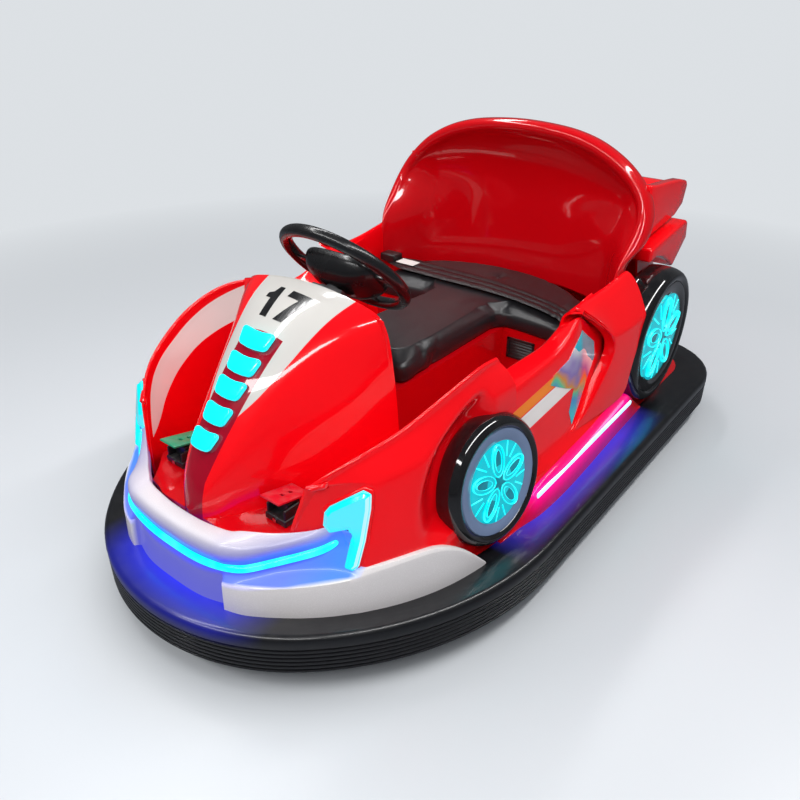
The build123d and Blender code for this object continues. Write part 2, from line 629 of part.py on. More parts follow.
BACK_SECTIONS = (
    # z, half width, rim y, middle y of the inner face
    (CUSHION_BOTTOM - 2, 372.0, 290.0, 491.0),
    (530.0, 386.0, 292.0, 497.0),
    (606.0, 392.0, 296.0, 500.0),
    (640.0, 422.0, 348.0, 499.0),
    (700.0, 424.0, 388.0, 494.0),
    (758.0, 404.0, 410.0, 484.0),
    (800.0, 366.0, 415.0, 472.0),
    (844.0, 320.0, 416.0, 458.0),
    (882.0, 250.0, 419.0, 446.0),
    (902.0, 186.0, 421.0, 440.0),
    (916.0, 118.0, 423.0, 437.0),
)
BACK_FULLNESS = (
    # share of the half width, share of the depth: squarer than an ellipse
    (0.94, 0.42), (0.80, 0.68), (0.55, 0.90), (0.0, 1.0),
)
BACK_RIM = 30.0                   # width of the rolled rim, seen from the front
BACK_SHELL = 14.0


def make_seat_back():
    """Tub-shaped seat back, a full curved shell with a rounded top."""
    with BuildPart() as back:
        for z, half, rim_y, mid_y in BACK_SECTIONS:
            inner = half - BACK_RIM
            face = [(inner * part, rim_y + (mid_y - rim_y) * depth) for part, depth in BACK_FULLNESS]
            rear = [(half * part, rim_y + BACK_SHELL + (mid_y - rim_y) * depth) for part, depth in BACK_FULLNESS]
            face += [(-x, y) for x, y in reversed(face[:-1])]
            rear += [(-x, y) for x, y in reversed(rear[:-1])]
            with BuildSketch(Plane.XY.offset(z)):
                with BuildLine():
                    Polyline(
                        (half, rim_y), (inner, rim_y), *face, (-inner, rim_y), (-half, rim_y), *reversed(rear), close=True
                    )
                make_face()
        loft(ruled=True)
        with BuildSketch(Plane.XY.offset(CUSHION_BOTTOM - 2)):
            with BuildLine():
                seat_plan(0)
            make_face()
        extrude(amount=CUSHION_TOP + 2 - CUSHION_BOTTOM, mode=Mode.SUBTRACT)
    save(back.part, "seat_back")
    return back.part


# ---------------------------------------------------------------- tail
TAIL_SECTIONS = (
    # y, foot x, side x, side z, shoulder x, shoulder z, crown z
    (508.0, 388.0, 385.0, 400.0, 356.0, 604.0, 632.0),
    (580.0, 388.0, 384.0, 400.0, 350.0, 592.0, 620.0),
    (660.0, 386.0, 381.0, 390.0, 340.0, 562.0, 590.0),
    (740.0, 380.0, 373.0, 370.0, 322.0, 508.0, 534.0),
    (800.0, 370.0, 361.0, 345.0, 300.0, 440.0, 464.0),
    (840.0, 358.0, 347.0, 318.0, 280.0, 376.0, 396.0),
    (868.0, 344.0, 331.0, 290.0, 264.0, 318.0, 332.0),
)
CROWN_PART = 0.55                 # where the crown turns down to the shoulder, of its half width
FIN_TOP = (
    # y, z round the upper side fin
    (440.0, 796.0), (480.0, 779.0), (600.0, 770.0), (662.0, 764.0), (716.0, 752.0), (728.0, 738.0), (718.0, 684.0),
    (667.0, 658.0), (525.0, 640.0), (470.0, 650.0),
)
FIN_LOW = (
    # y, z round the lower side fin
    (440.0, 618.0), (465.0, 622.0), (684.0, 648.0), (700.0, 640.0), (712.0, 590.0), (630.0, 520.0), (480.0, 520.0),
)
FIN_WEB = ((470.0, 600.0), (470.0, 700.0), (640.0, 690.0), (650.0, 600.0))
FIN_TOP_X = 404.0                 # outer faces: the lower fin stands out from the upper one as a shelf
FIN_LOW_X = 432.0
FIN_INNER_X = 362.0
WEB_OUTER_X = 390.0
WING_PROFILE = (
    # y, z round the wing between the fins
    (604.0, 716.0), (640.0, 738.0), (700.0, 748.0), (732.0, 744.0), (734.0, 728.0), (660.0, 722.0),
)
TAIL_LAMP = (215.0, 858.0, 300.0)
TAIL_LAMP_SLOPE = 26.0


def make_tail(seat):
    """Tail body behind the seat, with stacked fins and a wing between them."""
    with BuildPart() as tail:
        for y, foot, sx, sz, hx, hz, crown in TAIL_SECTIONS:
            half = [(foot, DECK), (sx, sz), (hx, hz), (hx * CROWN_PART, crown - (crown - hz) / 4)]
            with BuildSketch(Plane.XZ.offset(-y)):
                with BuildLine():
                    Polyline(*half, (0, crown), *[(-x, z) for x, z in reversed(half)], close=True)
                make_face()
        loft(ruled=True)
        add(seat, mode=Mode.SUBTRACT)
    save(tail.part, "tail_body")
    with BuildPart() as fin:
        for outline, outer in ((FIN_TOP, FIN_TOP_X), (FIN_LOW, FIN_LOW_X), (FIN_WEB, WEB_OUTER_X)):
            with BuildSketch(Plane.YZ.offset(FIN_INNER_X)):
                with BuildLine():
                    Polyline(*outline, close=True)
                make_face()
            extrude(amount=outer - FIN_INNER_X)
        add(arch_cut(REAR_DISC_PLANE, REAR_TYRE_RADIUS + ARCH_GAP, REAR_TYRE_WIDTH), mode=Mode.SUBTRACT)
        add(tail.part, mode=Mode.SUBTRACT)
        add(seat, mode=Mode.SUBTRACT)
    whole = fin.part.solids().sort_by(SortBy.VOLUME)[-1]
    with BuildPart() as wing:
        with BuildSketch(Plane.YZ.offset(-FIN_INNER_X)):
            with BuildLine():
                Polyline(*WING_PROFILE, close=True)
            make_face()
        extrude(amount=2 * FIN_INNER_X)
    save(wing.part + whole + mirrored(whole), "tail_wings")
    return tail.part


# ---------------------------------------------------------------- steering
COLUMN_DIR = (0.0, sin(radians(WHEEL_TILT)), cos(radians(WHEEL_TILT)))
COLUMN_PLANE = Plane(origin=(0, WHEEL_CENTRE_Y, WHEEL_CENTRE_Z), x_dir=(1, 0, 0), z_dir=COLUMN_DIR)
COLUMN_RADIUS = 14.0
COLUMN_LENGTH = 330.0
BOSS_FROM = 22.0                   # the clamp behind the hub, along the column
BOSS_TO = 52.0
BRACKET_FROM = 60.0
BRACKET_TO = 150.0


def make_steering():
    """Steering wheel with three spokes, its padded hub, and the column."""
    with BuildPart() as wheel:
        with BuildSketch(Plane(origin=COLUMN_PLANE.origin, x_dir=COLUMN_DIR, z_dir=(-1, 0, 0))):
            with Locations((0, RIM_RADIUS)):
                Circle(RIM_TUBE)
        revolve(axis=Axis(COLUMN_PLANE.origin, COLUMN_DIR))
        for angle in (0, 180, 270):
            with BuildSketch(COLUMN_PLANE.offset(-10)):
                with Locations(Location((0, 0, 0), (0, 0, angle))):
                    with Locations((RIM_RADIUS / 2, 0)):
                        Rectangle(RIM_RADIUS, 34)
            extrude(amount=10)
        with BuildSketch(COLUMN_PLANE.offset(-22)):
            RectangleRounded(150, 92, 30)
        extrude(amount=36)
    save(wheel.part, "steering_wheel")
    with BuildPart() as column:
        with BuildSketch(COLUMN_PLANE.offset(-COLUMN_LENGTH)):
            Circle(COLUMN_RADIUS)
        extrude(amount=COLUMN_LENGTH - 22)
    save(column.part, "steering_column")
    with BuildPart() as boss:
        with BuildSketch(COLUMN_PLANE.offset(-BOSS_TO)):
            RectangleRounded(66, 54, 8)
        extrude(amount=BOSS_TO - BOSS_FROM)
        with BuildSketch(COLUMN_PLANE.offset(-BOSS_TO)):
            Circle(COLUMN_RADIUS)
        extrude(amount=BOSS_TO, mode=Mode.SUBTRACT)
    save(boss.part, "wheel_boss")
    with BuildPart() as bracket:
        with BuildSketch(COLUMN_PLANE.offset(-BRACKET_TO)):
            Rectangle(90, 52)
        extrude(amount=BRACKET_TO - BRACKET_FROM)
        with BuildSketch(COLUMN_PLANE.offset(-COLUMN_LENGTH)):
            Circle(COLUMN_RADIUS + RUN_FIT)
        extrude(amount=COLUMN_LENGTH, mode=Mode.SUBTRACT)
        with BuildSketch(Plane.XZ.offset(-HOOD_REAR_Y)):
            Rectangle(400, 2000)
        extrude(amount=200, mode=Mode.SUBTRACT)
    save(bracket.part, "column_bracket")


# ---------------------------------------------------------------- lamps, pedals, belt, battery
def make_headlight(lip):
    """Seven-shaped lamp let into the front wing above the lip."""
    with BuildPart() as lamp:
        with BuildSketch(Plane(origin=(345, -722, 330), x_dir=(0.75, 0.66, 0), z_dir=(0.62, -0.70, 0.36))):
            with BuildLine():
                Polyline((-62, 44), (-20, 76), (36, 84), (30, -74), (8, -78), (-6, 20), (-58, 6), close=True)
            make_face()
        extrude(amount=24, both=True)
        add(lip, mode=Mode.SUBTRACT)
    save(lamp.part, "headlight_left")
    save(mirrored(lamp.part), "headlight_right")
    return lamp.part


PEDAL_X = 170.0
PEDAL_Y = -716.0
TOE_TOP = 290.0                   # top of the toe board under the pedals
PEDAL_TILT = -24.0


def make_pedals():
    """Go and stop pedals, each a tilted pad on a black base on the toe board."""
    bases = []
    for name, side in (("pedal_go", -1), ("pedal_stop", 1)):
        x = side * PEDAL_X
        with BuildPart() as pad:
            with Locations(Location((x, PEDAL_Y + 4, TOE_TOP + 52), (PEDAL_TILT, 0, 0))):
                Box(72, 92, 10)
        save(pad.part, name)
        with BuildPart() as base:
            with Locations((x, PEDAL_Y, TOE_TOP + 18)):
                Box(64, 60, 36)
            with Locations((x, PEDAL_Y + 16, TOE_TOP + 36)):
                Box(40, 16, 30)
            add(pad.part, mode=Mode.SUBTRACT)
        bases.append(base.part.solids().sort_by(SortBy.VOLUME)[-1])
    save(bases[0] + bases[1], "pedal_bases")


BELT_BACK = ((-350.0, 290.0), (-266.0, 309.0), (-120.0, 306.0), (30.0, 298.0), (140.0, 278.0), (244.0, 255.0), (334.0, 226.0))
BELT_FRONT = ((-350.0, 250.0), (-266.0, 208.0), (30.0, 206.0), (140.0, 200.0), (244.0, 180.0), (334.0, 172.0))
BELT_THICK = 6.0


def make_lap_belt():
    """Lap belt laid across the bench, with its catch at the far end."""
    with BuildPart() as belt:
        with BuildSketch(Plane.XY.offset(CUSHION_TOP)):
            with BuildLine():
                Polyline(*BELT_BACK, *reversed(BELT_FRONT), close=True)
            make_face()
        extrude(amount=BELT_THICK)
        with Locations((-337, 264, CUSHION_TOP + BELT_THICK + 11)):
            Box(48, 44, 24)
    save(belt.part, "lap_belt")


VENT_X = (150.0, 240.0)
VENT_Z = (312.0, 378.0)


def make_seat_vents():
    """Black vent plates on the seat box, beside the tongue."""
    with BuildPart() as vents:
        for side in (-1, 1):
            with Locations((side * sum(VENT_X) / 2, BENCH_FRONT + BOX_SETBACK - 2, sum(VENT_Z) / 2)):
                Box(VENT_X[1] - VENT_X[0], 4, VENT_Z[1] - VENT_Z[0])
    save(vents.part, "seat_vents")


def make_battery():
    """Battery under the seat, one plain block."""
    with BuildPart() as battery:
        with Locations((0, 300, DECK + 100)):
            Box(520, 180, 200)
    save(battery.part, "battery_block")


FRONT_STRIP_LINE = (
    # x, y, z of the middle of the lit strip, from the middle of the nose to its left end
    (0.0, -874.0, 246.5), (60.0, -873.0, 247.5), (110.0, -866.0, 250.5), (160.0, -857.0, 255.5),
    (189.0, -848.0, 259.5), (219.0, -822.0, 264.0), (245.0, -787.0, 268.5), (266.0, -748.0, 273.5),
)
STRIP_RADIUS = 6.8


def make_front_strip():
    """Light strip that lies in the groove of the lip, in one run from end to end."""
    line = [(-x, y, z) for x, y, z in reversed(FRONT_STRIP_LINE[1:])] + list(FRONT_STRIP_LINE)
    with BuildPart() as strip:
        for number, place in enumerate(line):
            before = Vector(*line[max(number - 1, 0)])
            after = Vector(*line[min(number + 1, len(line) - 1)])
            along = (after - before).normalized()
            level = Vector(along.Y, -along.X, 0).normalized()
            with BuildSketch(Plane(origin=place, x_dir=level, z_dir=along)):
                RegularPolygon(radius=STRIP_RADIUS, side_count=8)
        loft(ruled=True)
    return strip.part


SPINE_LIGHTS = (
    # y, z on the crown, half width behind, half width in front
    (-599.0, 608.0, 46.0, 40.0),
    (-640.0, 566.0, 43.0, 37.0),
    (-680.0, 527.0, 40.0, 34.0),
    (-720.0, 484.0, 37.0, 31.0),
    (-760.0, 443.0, 34.0, 28.0),
)
SPINE_SLOPE = 46.0


def make_spine_lights():
    """Five lit pads down the middle of the hood, standing on its skin."""
    with BuildPart() as lights:
        for y, z, wide, narrow in SPINE_LIGHTS:
            pad = Plane(
                origin=(0, y, z),
                x_dir=(1, 0, 0),
                z_dir=(0, -sin(radians(SPINE_SLOPE)), cos(radians(SPINE_SLOPE))),
            )
            with BuildSketch(pad.offset(-6)):
                with BuildLine():
                    Polyline((-narrow, -16), (narrow, -16), (wide, 16), (-wide, 16), close=True)
                make_face()
            extrude(amount=16)
        add(hood_solid(0), mode=Mode.SUBTRACT)
    save(lights.part, "spine_lights")


def make_side_lights(wall):
    """Light bars along the side skirts, set into them."""
    with BuildPart() as bar:
        with BuildSketch(Plane.YZ.offset(480)):
            with BuildLine():
                Polyline((-246, 216), (281, 228), (281, 241), (-246, 229), close=True)
            make_face()
        extrude(amount=25)
        add(wall, mode=Mode.SUBTRACT)
    whole = bar.part.solids().sort_by(SortBy.VOLUME)[-1]
    save(whole + mirrored(whole), "side_lights")


def make_tail_lights(tail):
    """Lamps on the back of the tail, let into it."""
    with BuildPart() as lamps:
        for side in (-1, 1):
            x, y, z = TAIL_LAMP
            with Locations(Location((side * x * 0.7, y - 12, z + 66), (TAIL_LAMP_SLOPE, 0, 0))):
                Box(150, 30, 40)
        add(tail, mode=Mode.SUBTRACT)
    save(lamps.part, "tail_lights")


make_bumper_ring()
make_chassis()
make_drive_bridge()
make_drive_fork()
make_drive_wheel()
make_rear_axle()
make_rear_wheels()
strip_part = make_front_strip()
save(strip_part, "front_light_strip")
lip_part = make_front_lip() - strip_part
save(lip_part, "front_lip")
pan_part = make_floor_pan(lip_part)
make_nose_hood()
make_spine_lights()
lamp_part = make_headlight(lip_part)
make_front_pods(lip_part, lamp_part, strip_part, pan_part)
wall_part = make_side_walls(lip_part)
make_side_lights(wall_part)
make_scoops()
make_trim_wheels()
make_seat_base()
make_cushion()
seat_part = make_seat_back()
tail_part = make_tail(seat_part)
make_tail_lights(tail_part)
make_steering()
make_pedals()
make_lap_belt()
make_seat_vents()
make_battery()
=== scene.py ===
"""Looks of a fairground bumper car: glossy shells, lit trim, padded seat and rubber ring.

The car stands on the floor with its front towards -Y and the driver's left towards +X.
All sizes are in metres, in the same frame as the construction, but a table in metres() is
written in millimetres.
"""

import logging
from collections.abc import Callable, Iterable, Sequence
from dataclasses import dataclass, field
from enum import Enum
from math import atan2, cos, pi, radians, sin, sqrt

import bpy
from mathutils import Matrix, Vector


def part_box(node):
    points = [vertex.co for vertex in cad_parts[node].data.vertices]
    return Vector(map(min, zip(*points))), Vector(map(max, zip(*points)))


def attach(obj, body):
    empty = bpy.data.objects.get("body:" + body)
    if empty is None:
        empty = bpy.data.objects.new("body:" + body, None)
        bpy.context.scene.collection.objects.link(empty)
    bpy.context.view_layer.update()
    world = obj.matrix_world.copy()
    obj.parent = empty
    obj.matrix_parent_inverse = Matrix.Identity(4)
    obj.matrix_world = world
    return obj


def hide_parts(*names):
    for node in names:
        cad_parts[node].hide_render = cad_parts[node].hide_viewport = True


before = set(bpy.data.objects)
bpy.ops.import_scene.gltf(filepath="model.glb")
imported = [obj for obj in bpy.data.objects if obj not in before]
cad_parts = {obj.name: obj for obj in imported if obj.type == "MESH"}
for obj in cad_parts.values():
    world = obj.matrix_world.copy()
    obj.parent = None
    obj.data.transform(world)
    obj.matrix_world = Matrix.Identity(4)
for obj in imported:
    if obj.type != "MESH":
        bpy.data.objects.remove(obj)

Point = tuple[float, float, float]
Colour = tuple[float, float, float]
Piece = bpy.types.Object
Socket = bpy.types.NodeSocket
Test = Callable[[Vector, Vector], bool]
LOG = logging.getLogger("bumper_car")
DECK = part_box("bumper_ring")[1][2]          # top of the rubber ring, where the body stands
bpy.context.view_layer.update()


class Side(Enum):
    """The two sides of the car, with the sign of their x."""

    LEFT = 1
    RIGHT = -1


class Body(Enum):
    """Moving bodies that a piece can ride on."""

    CHASSIS = "chassis"
    STEERING = "steering"


# ------------------------------------------------------------------ workshop


def metres(*table: object) -> tuple:
    """A table written in millimetres, turned into metres."""
    return tuple(metres(*entry) if isinstance(entry, tuple) else entry / 1000 for entry in table)


def flipped(line: Sequence[Point]) -> list[Point]:
    """A line of points on the other side of the car, in reverse order."""
    return [(-x, y, z) for x, y, z in reversed(line)]


def full_row(half: list[Point]) -> list[Point]:
    """A row across the whole car, from its left half that ends in the middle."""
    return half + flipped(half[:-1])


def choose(*pieces: Piece) -> None:
    """Select just these pieces in object mode, the first one active."""
    if bpy.context.object is not None and bpy.context.object.mode != "OBJECT":
        bpy.ops.object.mode_set(mode="OBJECT")
    bpy.ops.object.select_all(action="DESELECT")
    for piece in pieces:
        piece.select_set(True)
    if pieces:
        bpy.context.view_layer.objects.active = pieces[0]


def name_new(name: str) -> Piece:
    """Name the object that was just added and settle its place into its mesh."""
    piece = bpy.context.object
    piece.name = name
    piece.data.name = name
    bpy.ops.object.transform_apply(location=True, rotation=True, scale=True)
    return piece


def edit(piece: Piece, kind: str = "FACE", action: str = "SELECT") -> None:
    """Open a piece in edit mode with everything selected, or nothing."""
    choose(piece)
    bpy.ops.object.mode_set(mode="EDIT")
    bpy.ops.mesh.select_mode(type=kind)
    bpy.ops.mesh.select_all(action=action)


def select_faces(piece: Piece, test: Test) -> None:
    """Open a piece in edit mode with only some faces selected.

    Args:
        piece: The piece to open.
        test: Says from a face's centre and normal whether it is wanted.
    """
    edit(piece, action="DESELECT")
    close_edit()
    for face in piece.data.polygons:
        face.select = test(face.center, face.normal)
    bpy.ops.object.mode_set(mode="EDIT")


def close_edit() -> None:
    """Go back to object mode."""
    bpy.ops.object.mode_set(mode="OBJECT")


def clean(piece: Piece, gap: float = 0.00005) -> Piece:
    """Merge doubled points and turn the faces outwards."""
    edit(piece)
    bpy.ops.mesh.remove_doubles(threshold=gap)
    bpy.ops.mesh.normals_make_consistent(inside=False)
    close_edit()
    return piece


def modify(piece: Piece, kind: str, **settings: object) -> Piece:
    """Add one modifier and apply it at once.

    Args:
        piece: The piece to work on.
        kind: Blender's name of the modifier.
        **settings: Its properties.

    Returns:
        The same piece.
    """
    choose(piece)
    modifier = piece.modifiers.new(kind.title(), kind)
    for key, value in settings.items():
        setattr(modifier, key, value)
    bpy.ops.object.modifier_apply(modifier=modifier.name)
    return piece


def subdivide(piece: Piece, levels: int = 2) -> Piece:
    """Smooth a cage into a curved surface."""
    return modify(piece, "SUBSURF", levels=levels, render_levels=levels)


def thicken(piece: Piece, thickness: float, offset: float = -1.0, even: bool = True) -> Piece:
    """Give a sheet its wall thickness, inwards unless offset says otherwise."""
    return modify(piece, "SOLIDIFY", thickness=thickness, offset=offset, use_even_offset=even)


def soften(piece: Piece, width: float, segments: int = 3, angle: float = 35.0) -> Piece:
    """Round the sharp edges of a piece."""
    return modify(
        piece, "BEVEL", width=width, segments=segments, limit_method="ANGLE", angle_limit=radians(angle)
    )


def shade(piece: Piece, angle: float = 35.0) -> Piece:
    """Shade a piece smooth, except across sharp edges."""
    choose(piece)
    bpy.ops.object.shade_smooth_by_angle(angle=radians(angle))
    return piece


def join(name: str, pieces: Sequence[Piece]) -> Piece:
    """Join pieces into one mesh under a new name."""
    choose(*pieces)
    if len(pieces) > 1:
        bpy.ops.object.join()
    piece = bpy.context.object
    piece.name = name
    piece.data.name = name
    return piece


def copy_of(piece: Piece, name: str, place: Matrix | None = None) -> Piece:
    """Copy a piece with its own mesh, moved by a matrix that goes into the mesh."""
    choose(piece)
    bpy.ops.object.duplicate(linked=False)
    twin = bpy.context.object
    twin.name = name
    twin.data.name = name
    if place is not None:
        twin.data.transform(place)
    return twin


def mirrored(piece: Piece, name: str) -> Piece:
    """Copy a piece to the other side of the car, turned right side out again."""
    twin = copy_of(piece, name, Matrix.Scale(-1.0, 4, Vector((1.0, 0.0, 0.0))))
    twin.data.flip_normals()
    return twin


def cage(name: str, rows: Sequence[Sequence[Point]]) -> Piece:
    """Sheet of quads whose points lie in the given rows.

    Args:
        name: Name of the new piece.
        rows: Rows of points, all of one length.

    Returns:
        The new sheet.
    """
    across, along = len(rows[0]) - 1, len(rows) - 1
    choose()
    bpy.ops.mesh.primitive_grid_add(x_subdivisions=across, y_subdivisions=along, size=1.0)
    piece = name_new(name)
    for vertex in piece.data.vertices:
        column = round((vertex.co.x + 0.5) * across)
        row = round((vertex.co.y + 0.5) * along)
        vertex.co = rows[row][column]
    piece.data.update()
    return piece


def crease(piece: Piece, test: Test, sharpness: float = 1.0) -> Piece:
    """Keep some edges of a cage sharp when it is subdivided.

    Args:
        piece: The cage.
        test: Says from an edge's two ends whether it is wanted.
        sharpness: From 0, round, to 1, sharp.

    Returns:
        The same cage.
    """
    edit(piece, "EDGE", "DESELECT")
    close_edit()
    points = piece.data.vertices
    for edge in piece.data.edges:
        edge.select = test(points[edge.vertices[0]].co, points[edge.vertices[1]].co)
    bpy.ops.object.mode_set(mode="EDIT")
    bpy.ops.transform.edge_crease(value=sharpness)
    close_edit()
    return piece


def on_line(places: Iterable[Point]) -> Test:
    """Test for the edges that run along a chain of points."""
    keys = {tuple(round(value, 4) for value in place) for place in places}

    def test(first: Vector, second: Vector) -> bool:
        """Say whether both ends lie on the chain."""
        return all(tuple(round(value, 4) for value in end) in keys for end in (first, second))

    return test


def column(rows: Sequence[Sequence[Point]], index: int) -> list[Point]:
    """One line of points along the rows of a cage."""
    return [row[index] for row in rows]


def outline_plate(name: str, outline: Sequence[Point], push: Vector) -> Piece:
    """Solid plate from a closed outline, extruded by a vector.

    Args:
        name: Name of the new piece.
        outline: Corner points in order.
        push: Direction and thickness of the plate.

    Returns:
        The new plate, closed on all sides.
    """
    choose()
    bpy.ops.mesh.primitive_circle_add(vertices=len(outline), radius=1.0, fill_type="NGON")
    piece = name_new(name)
    for vertex, place in zip(piece.data.vertices, outline):
        vertex.co = place
    edit(piece)
    bpy.ops.mesh.extrude_region_move(TRANSFORM_OT_translate={"value": tuple(push)})
    bpy.ops.mesh.select_all(action="SELECT")
    bpy.ops.mesh.normals_make_consistent(inside=False)
    close_edit()
    return piece


def cut_fine(piece: Piece, low: Point, high: Point, step: float) -> Piece:
    """Cut a flat piece along its axes into squares, so that it can follow a curve.

    Args:
        piece: The piece to cut.
        low: Lowest corner of the cuts; an axis without extent gets none.
        high: Highest corner of the cuts.
        step: Width of the squares.

    Returns:
        The same piece.
    """
    for axis in range(3):
        normal = [float(axis == number) for number in range(3)]
        for number in range(1, int((high[axis] - low[axis]) / step) + 1):
            edit(piece)
            place = [(low[axis] + number * step) * part for part in normal]
            bpy.ops.mesh.bisect(plane_co=place, plane_no=normal)
            close_edit()
    return piece


def block(name: str, centre: Point, size: Point, turn: Matrix | None = None) -> Piece:
    """Plain block to shape further, turned about its own centre."""
    choose()
    bpy.ops.mesh.primitive_cube_add(size=1.0)
    piece = name_new(name)
    spin = Matrix.Identity(4) if turn is None else turn
    piece.data.transform(Matrix.Translation(centre) @ spin @ Matrix.Diagonal((*size, 1.0)))
    return piece


def rod(name: str, start: Point, end: Point, radius: float, sides: int = 32) -> Piece:
    """Round bar between two points."""
    line = Vector(end) - Vector(start)
    choose()
    bpy.ops.mesh.primitive_cylinder_add(vertices=sides, radius=radius, depth=line.length)
    piece = name_new(name)
    turn = line.to_track_quat("Z", "Y").to_matrix().to_4x4()
    piece.data.transform(Matrix.Translation((Vector(start) + Vector(end)) / 2) @ turn)
    return piece


def facing(centre: Point, normal: Point) -> Matrix:
    """Frame at a centre, with its z along the normal and its x level."""
    z_axis = Vector(normal).normalized()
    x_axis = Vector((-z_axis.y, z_axis.x, 0.0)).normalized()
    y_axis = z_axis.cross(x_axis)
    turn = Matrix((x_axis, y_axis, z_axis)).transposed().to_4x4()
    return Matrix.Translation(centre) @ turn


def leaning(place: Point, degrees: float) -> Matrix:
    """Place of a piece that leans about the car's x axis."""
    return Matrix.Translation(place) @ Matrix.Rotation(radians(degrees), 4, "X")


def lathe(name: str, profile: Sequence[tuple[float, float]], place: Matrix, steps: int = 72) -> Piece:
    """Turned piece: a profile spun about the z axis of a frame.

    Args:
        name: Name of the new piece.
        profile: Radius and height pairs; a closed ring if the last equals the first.
        place: Frame that the piece is put in.
        steps: Facets round the axis.

    Returns:
        The new piece.
    """
    choose()
    bpy.ops.mesh.primitive_grid_add(x_subdivisions=len(profile) - 1, y_subdivisions=1, size=1.0)
    piece = name_new(name)
    for vertex in piece.data.vertices:
        radius, height = profile[round((vertex.co.x + 0.5) * (len(profile) - 1))]
        vertex.co = (radius, 0.0, height)
    edit(piece)
    bpy.ops.mesh.remove_doubles(threshold=0.00001)
    bpy.ops.mesh.delete(type="ONLY_FACE")
    bpy.ops.mesh.select_mode(type="EDGE")
    bpy.ops.mesh.select_all(action="SELECT")
    bpy.ops.mesh.spin(steps=steps, angle=2 * pi, center=(0, 0, 0), axis=(0, 0, 1))
    bpy.ops.mesh.select_all(action="SELECT")
    bpy.ops.mesh.remove_doubles(threshold=0.00001)
    bpy.ops.mesh.normals_make_consistent(inside=False)
    close_edit()
    piece.data.transform(place)
    return piece


def dress(piece: Piece, *materials: bpy.types.Material) -> Piece:
    """Put materials on a piece, the first one all over."""
    piece.data.materials.clear()
    for material in materials:
        piece.data.materials.append(material)
    return piece


def surface(piece: Piece, *finishes: str, angle: float = 35.0) -> Piece:
    """Shade a piece smooth and give it its named finishes, the first one all over."""
    return dress(shade(piece, angle), *map(paint, finishes))


def paint_faces(piece: Piece, slot: int, test: Test = lambda spot, normal: True) -> Piece:
    """Give the faces that pass a test, or all, another of the piece's materials."""
    for face in piece.data.polygons:
        if test(face.center, face.normal):
            face.material_index = slot
    return piece


def hand_over(piece: Piece, slot: str, *nodes: str, body: Body = Body.CHASSIS) -> Piece:
    """Make a finished piece part of the car.

    Args:
        piece: The finished piece.
        slot: Not used.
        *nodes: Construction nodes that it stands for.
        body: The moving body it rides on.

    Returns:
        The same piece.
    """
    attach(piece, body.value)
    if nodes:
        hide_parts(*nodes)
    LOG.info("%s: %d faces", piece.name, len(piece.data.polygons))
    return piece


def hand_over_pair(piece: Piece, slot: str, *nodes: str) -> None:
    """Hand over a left piece and its mirror image, for nodes named without their side."""
    twin = mirrored(piece, piece.name.replace("_left", "_right"))
    for part, side in ((piece, "left"), (twin, "right")):
        hand_over(part, slot, *(f"{node}_{side}" for node in nodes))


# ------------------------------------------------------------------ finishes


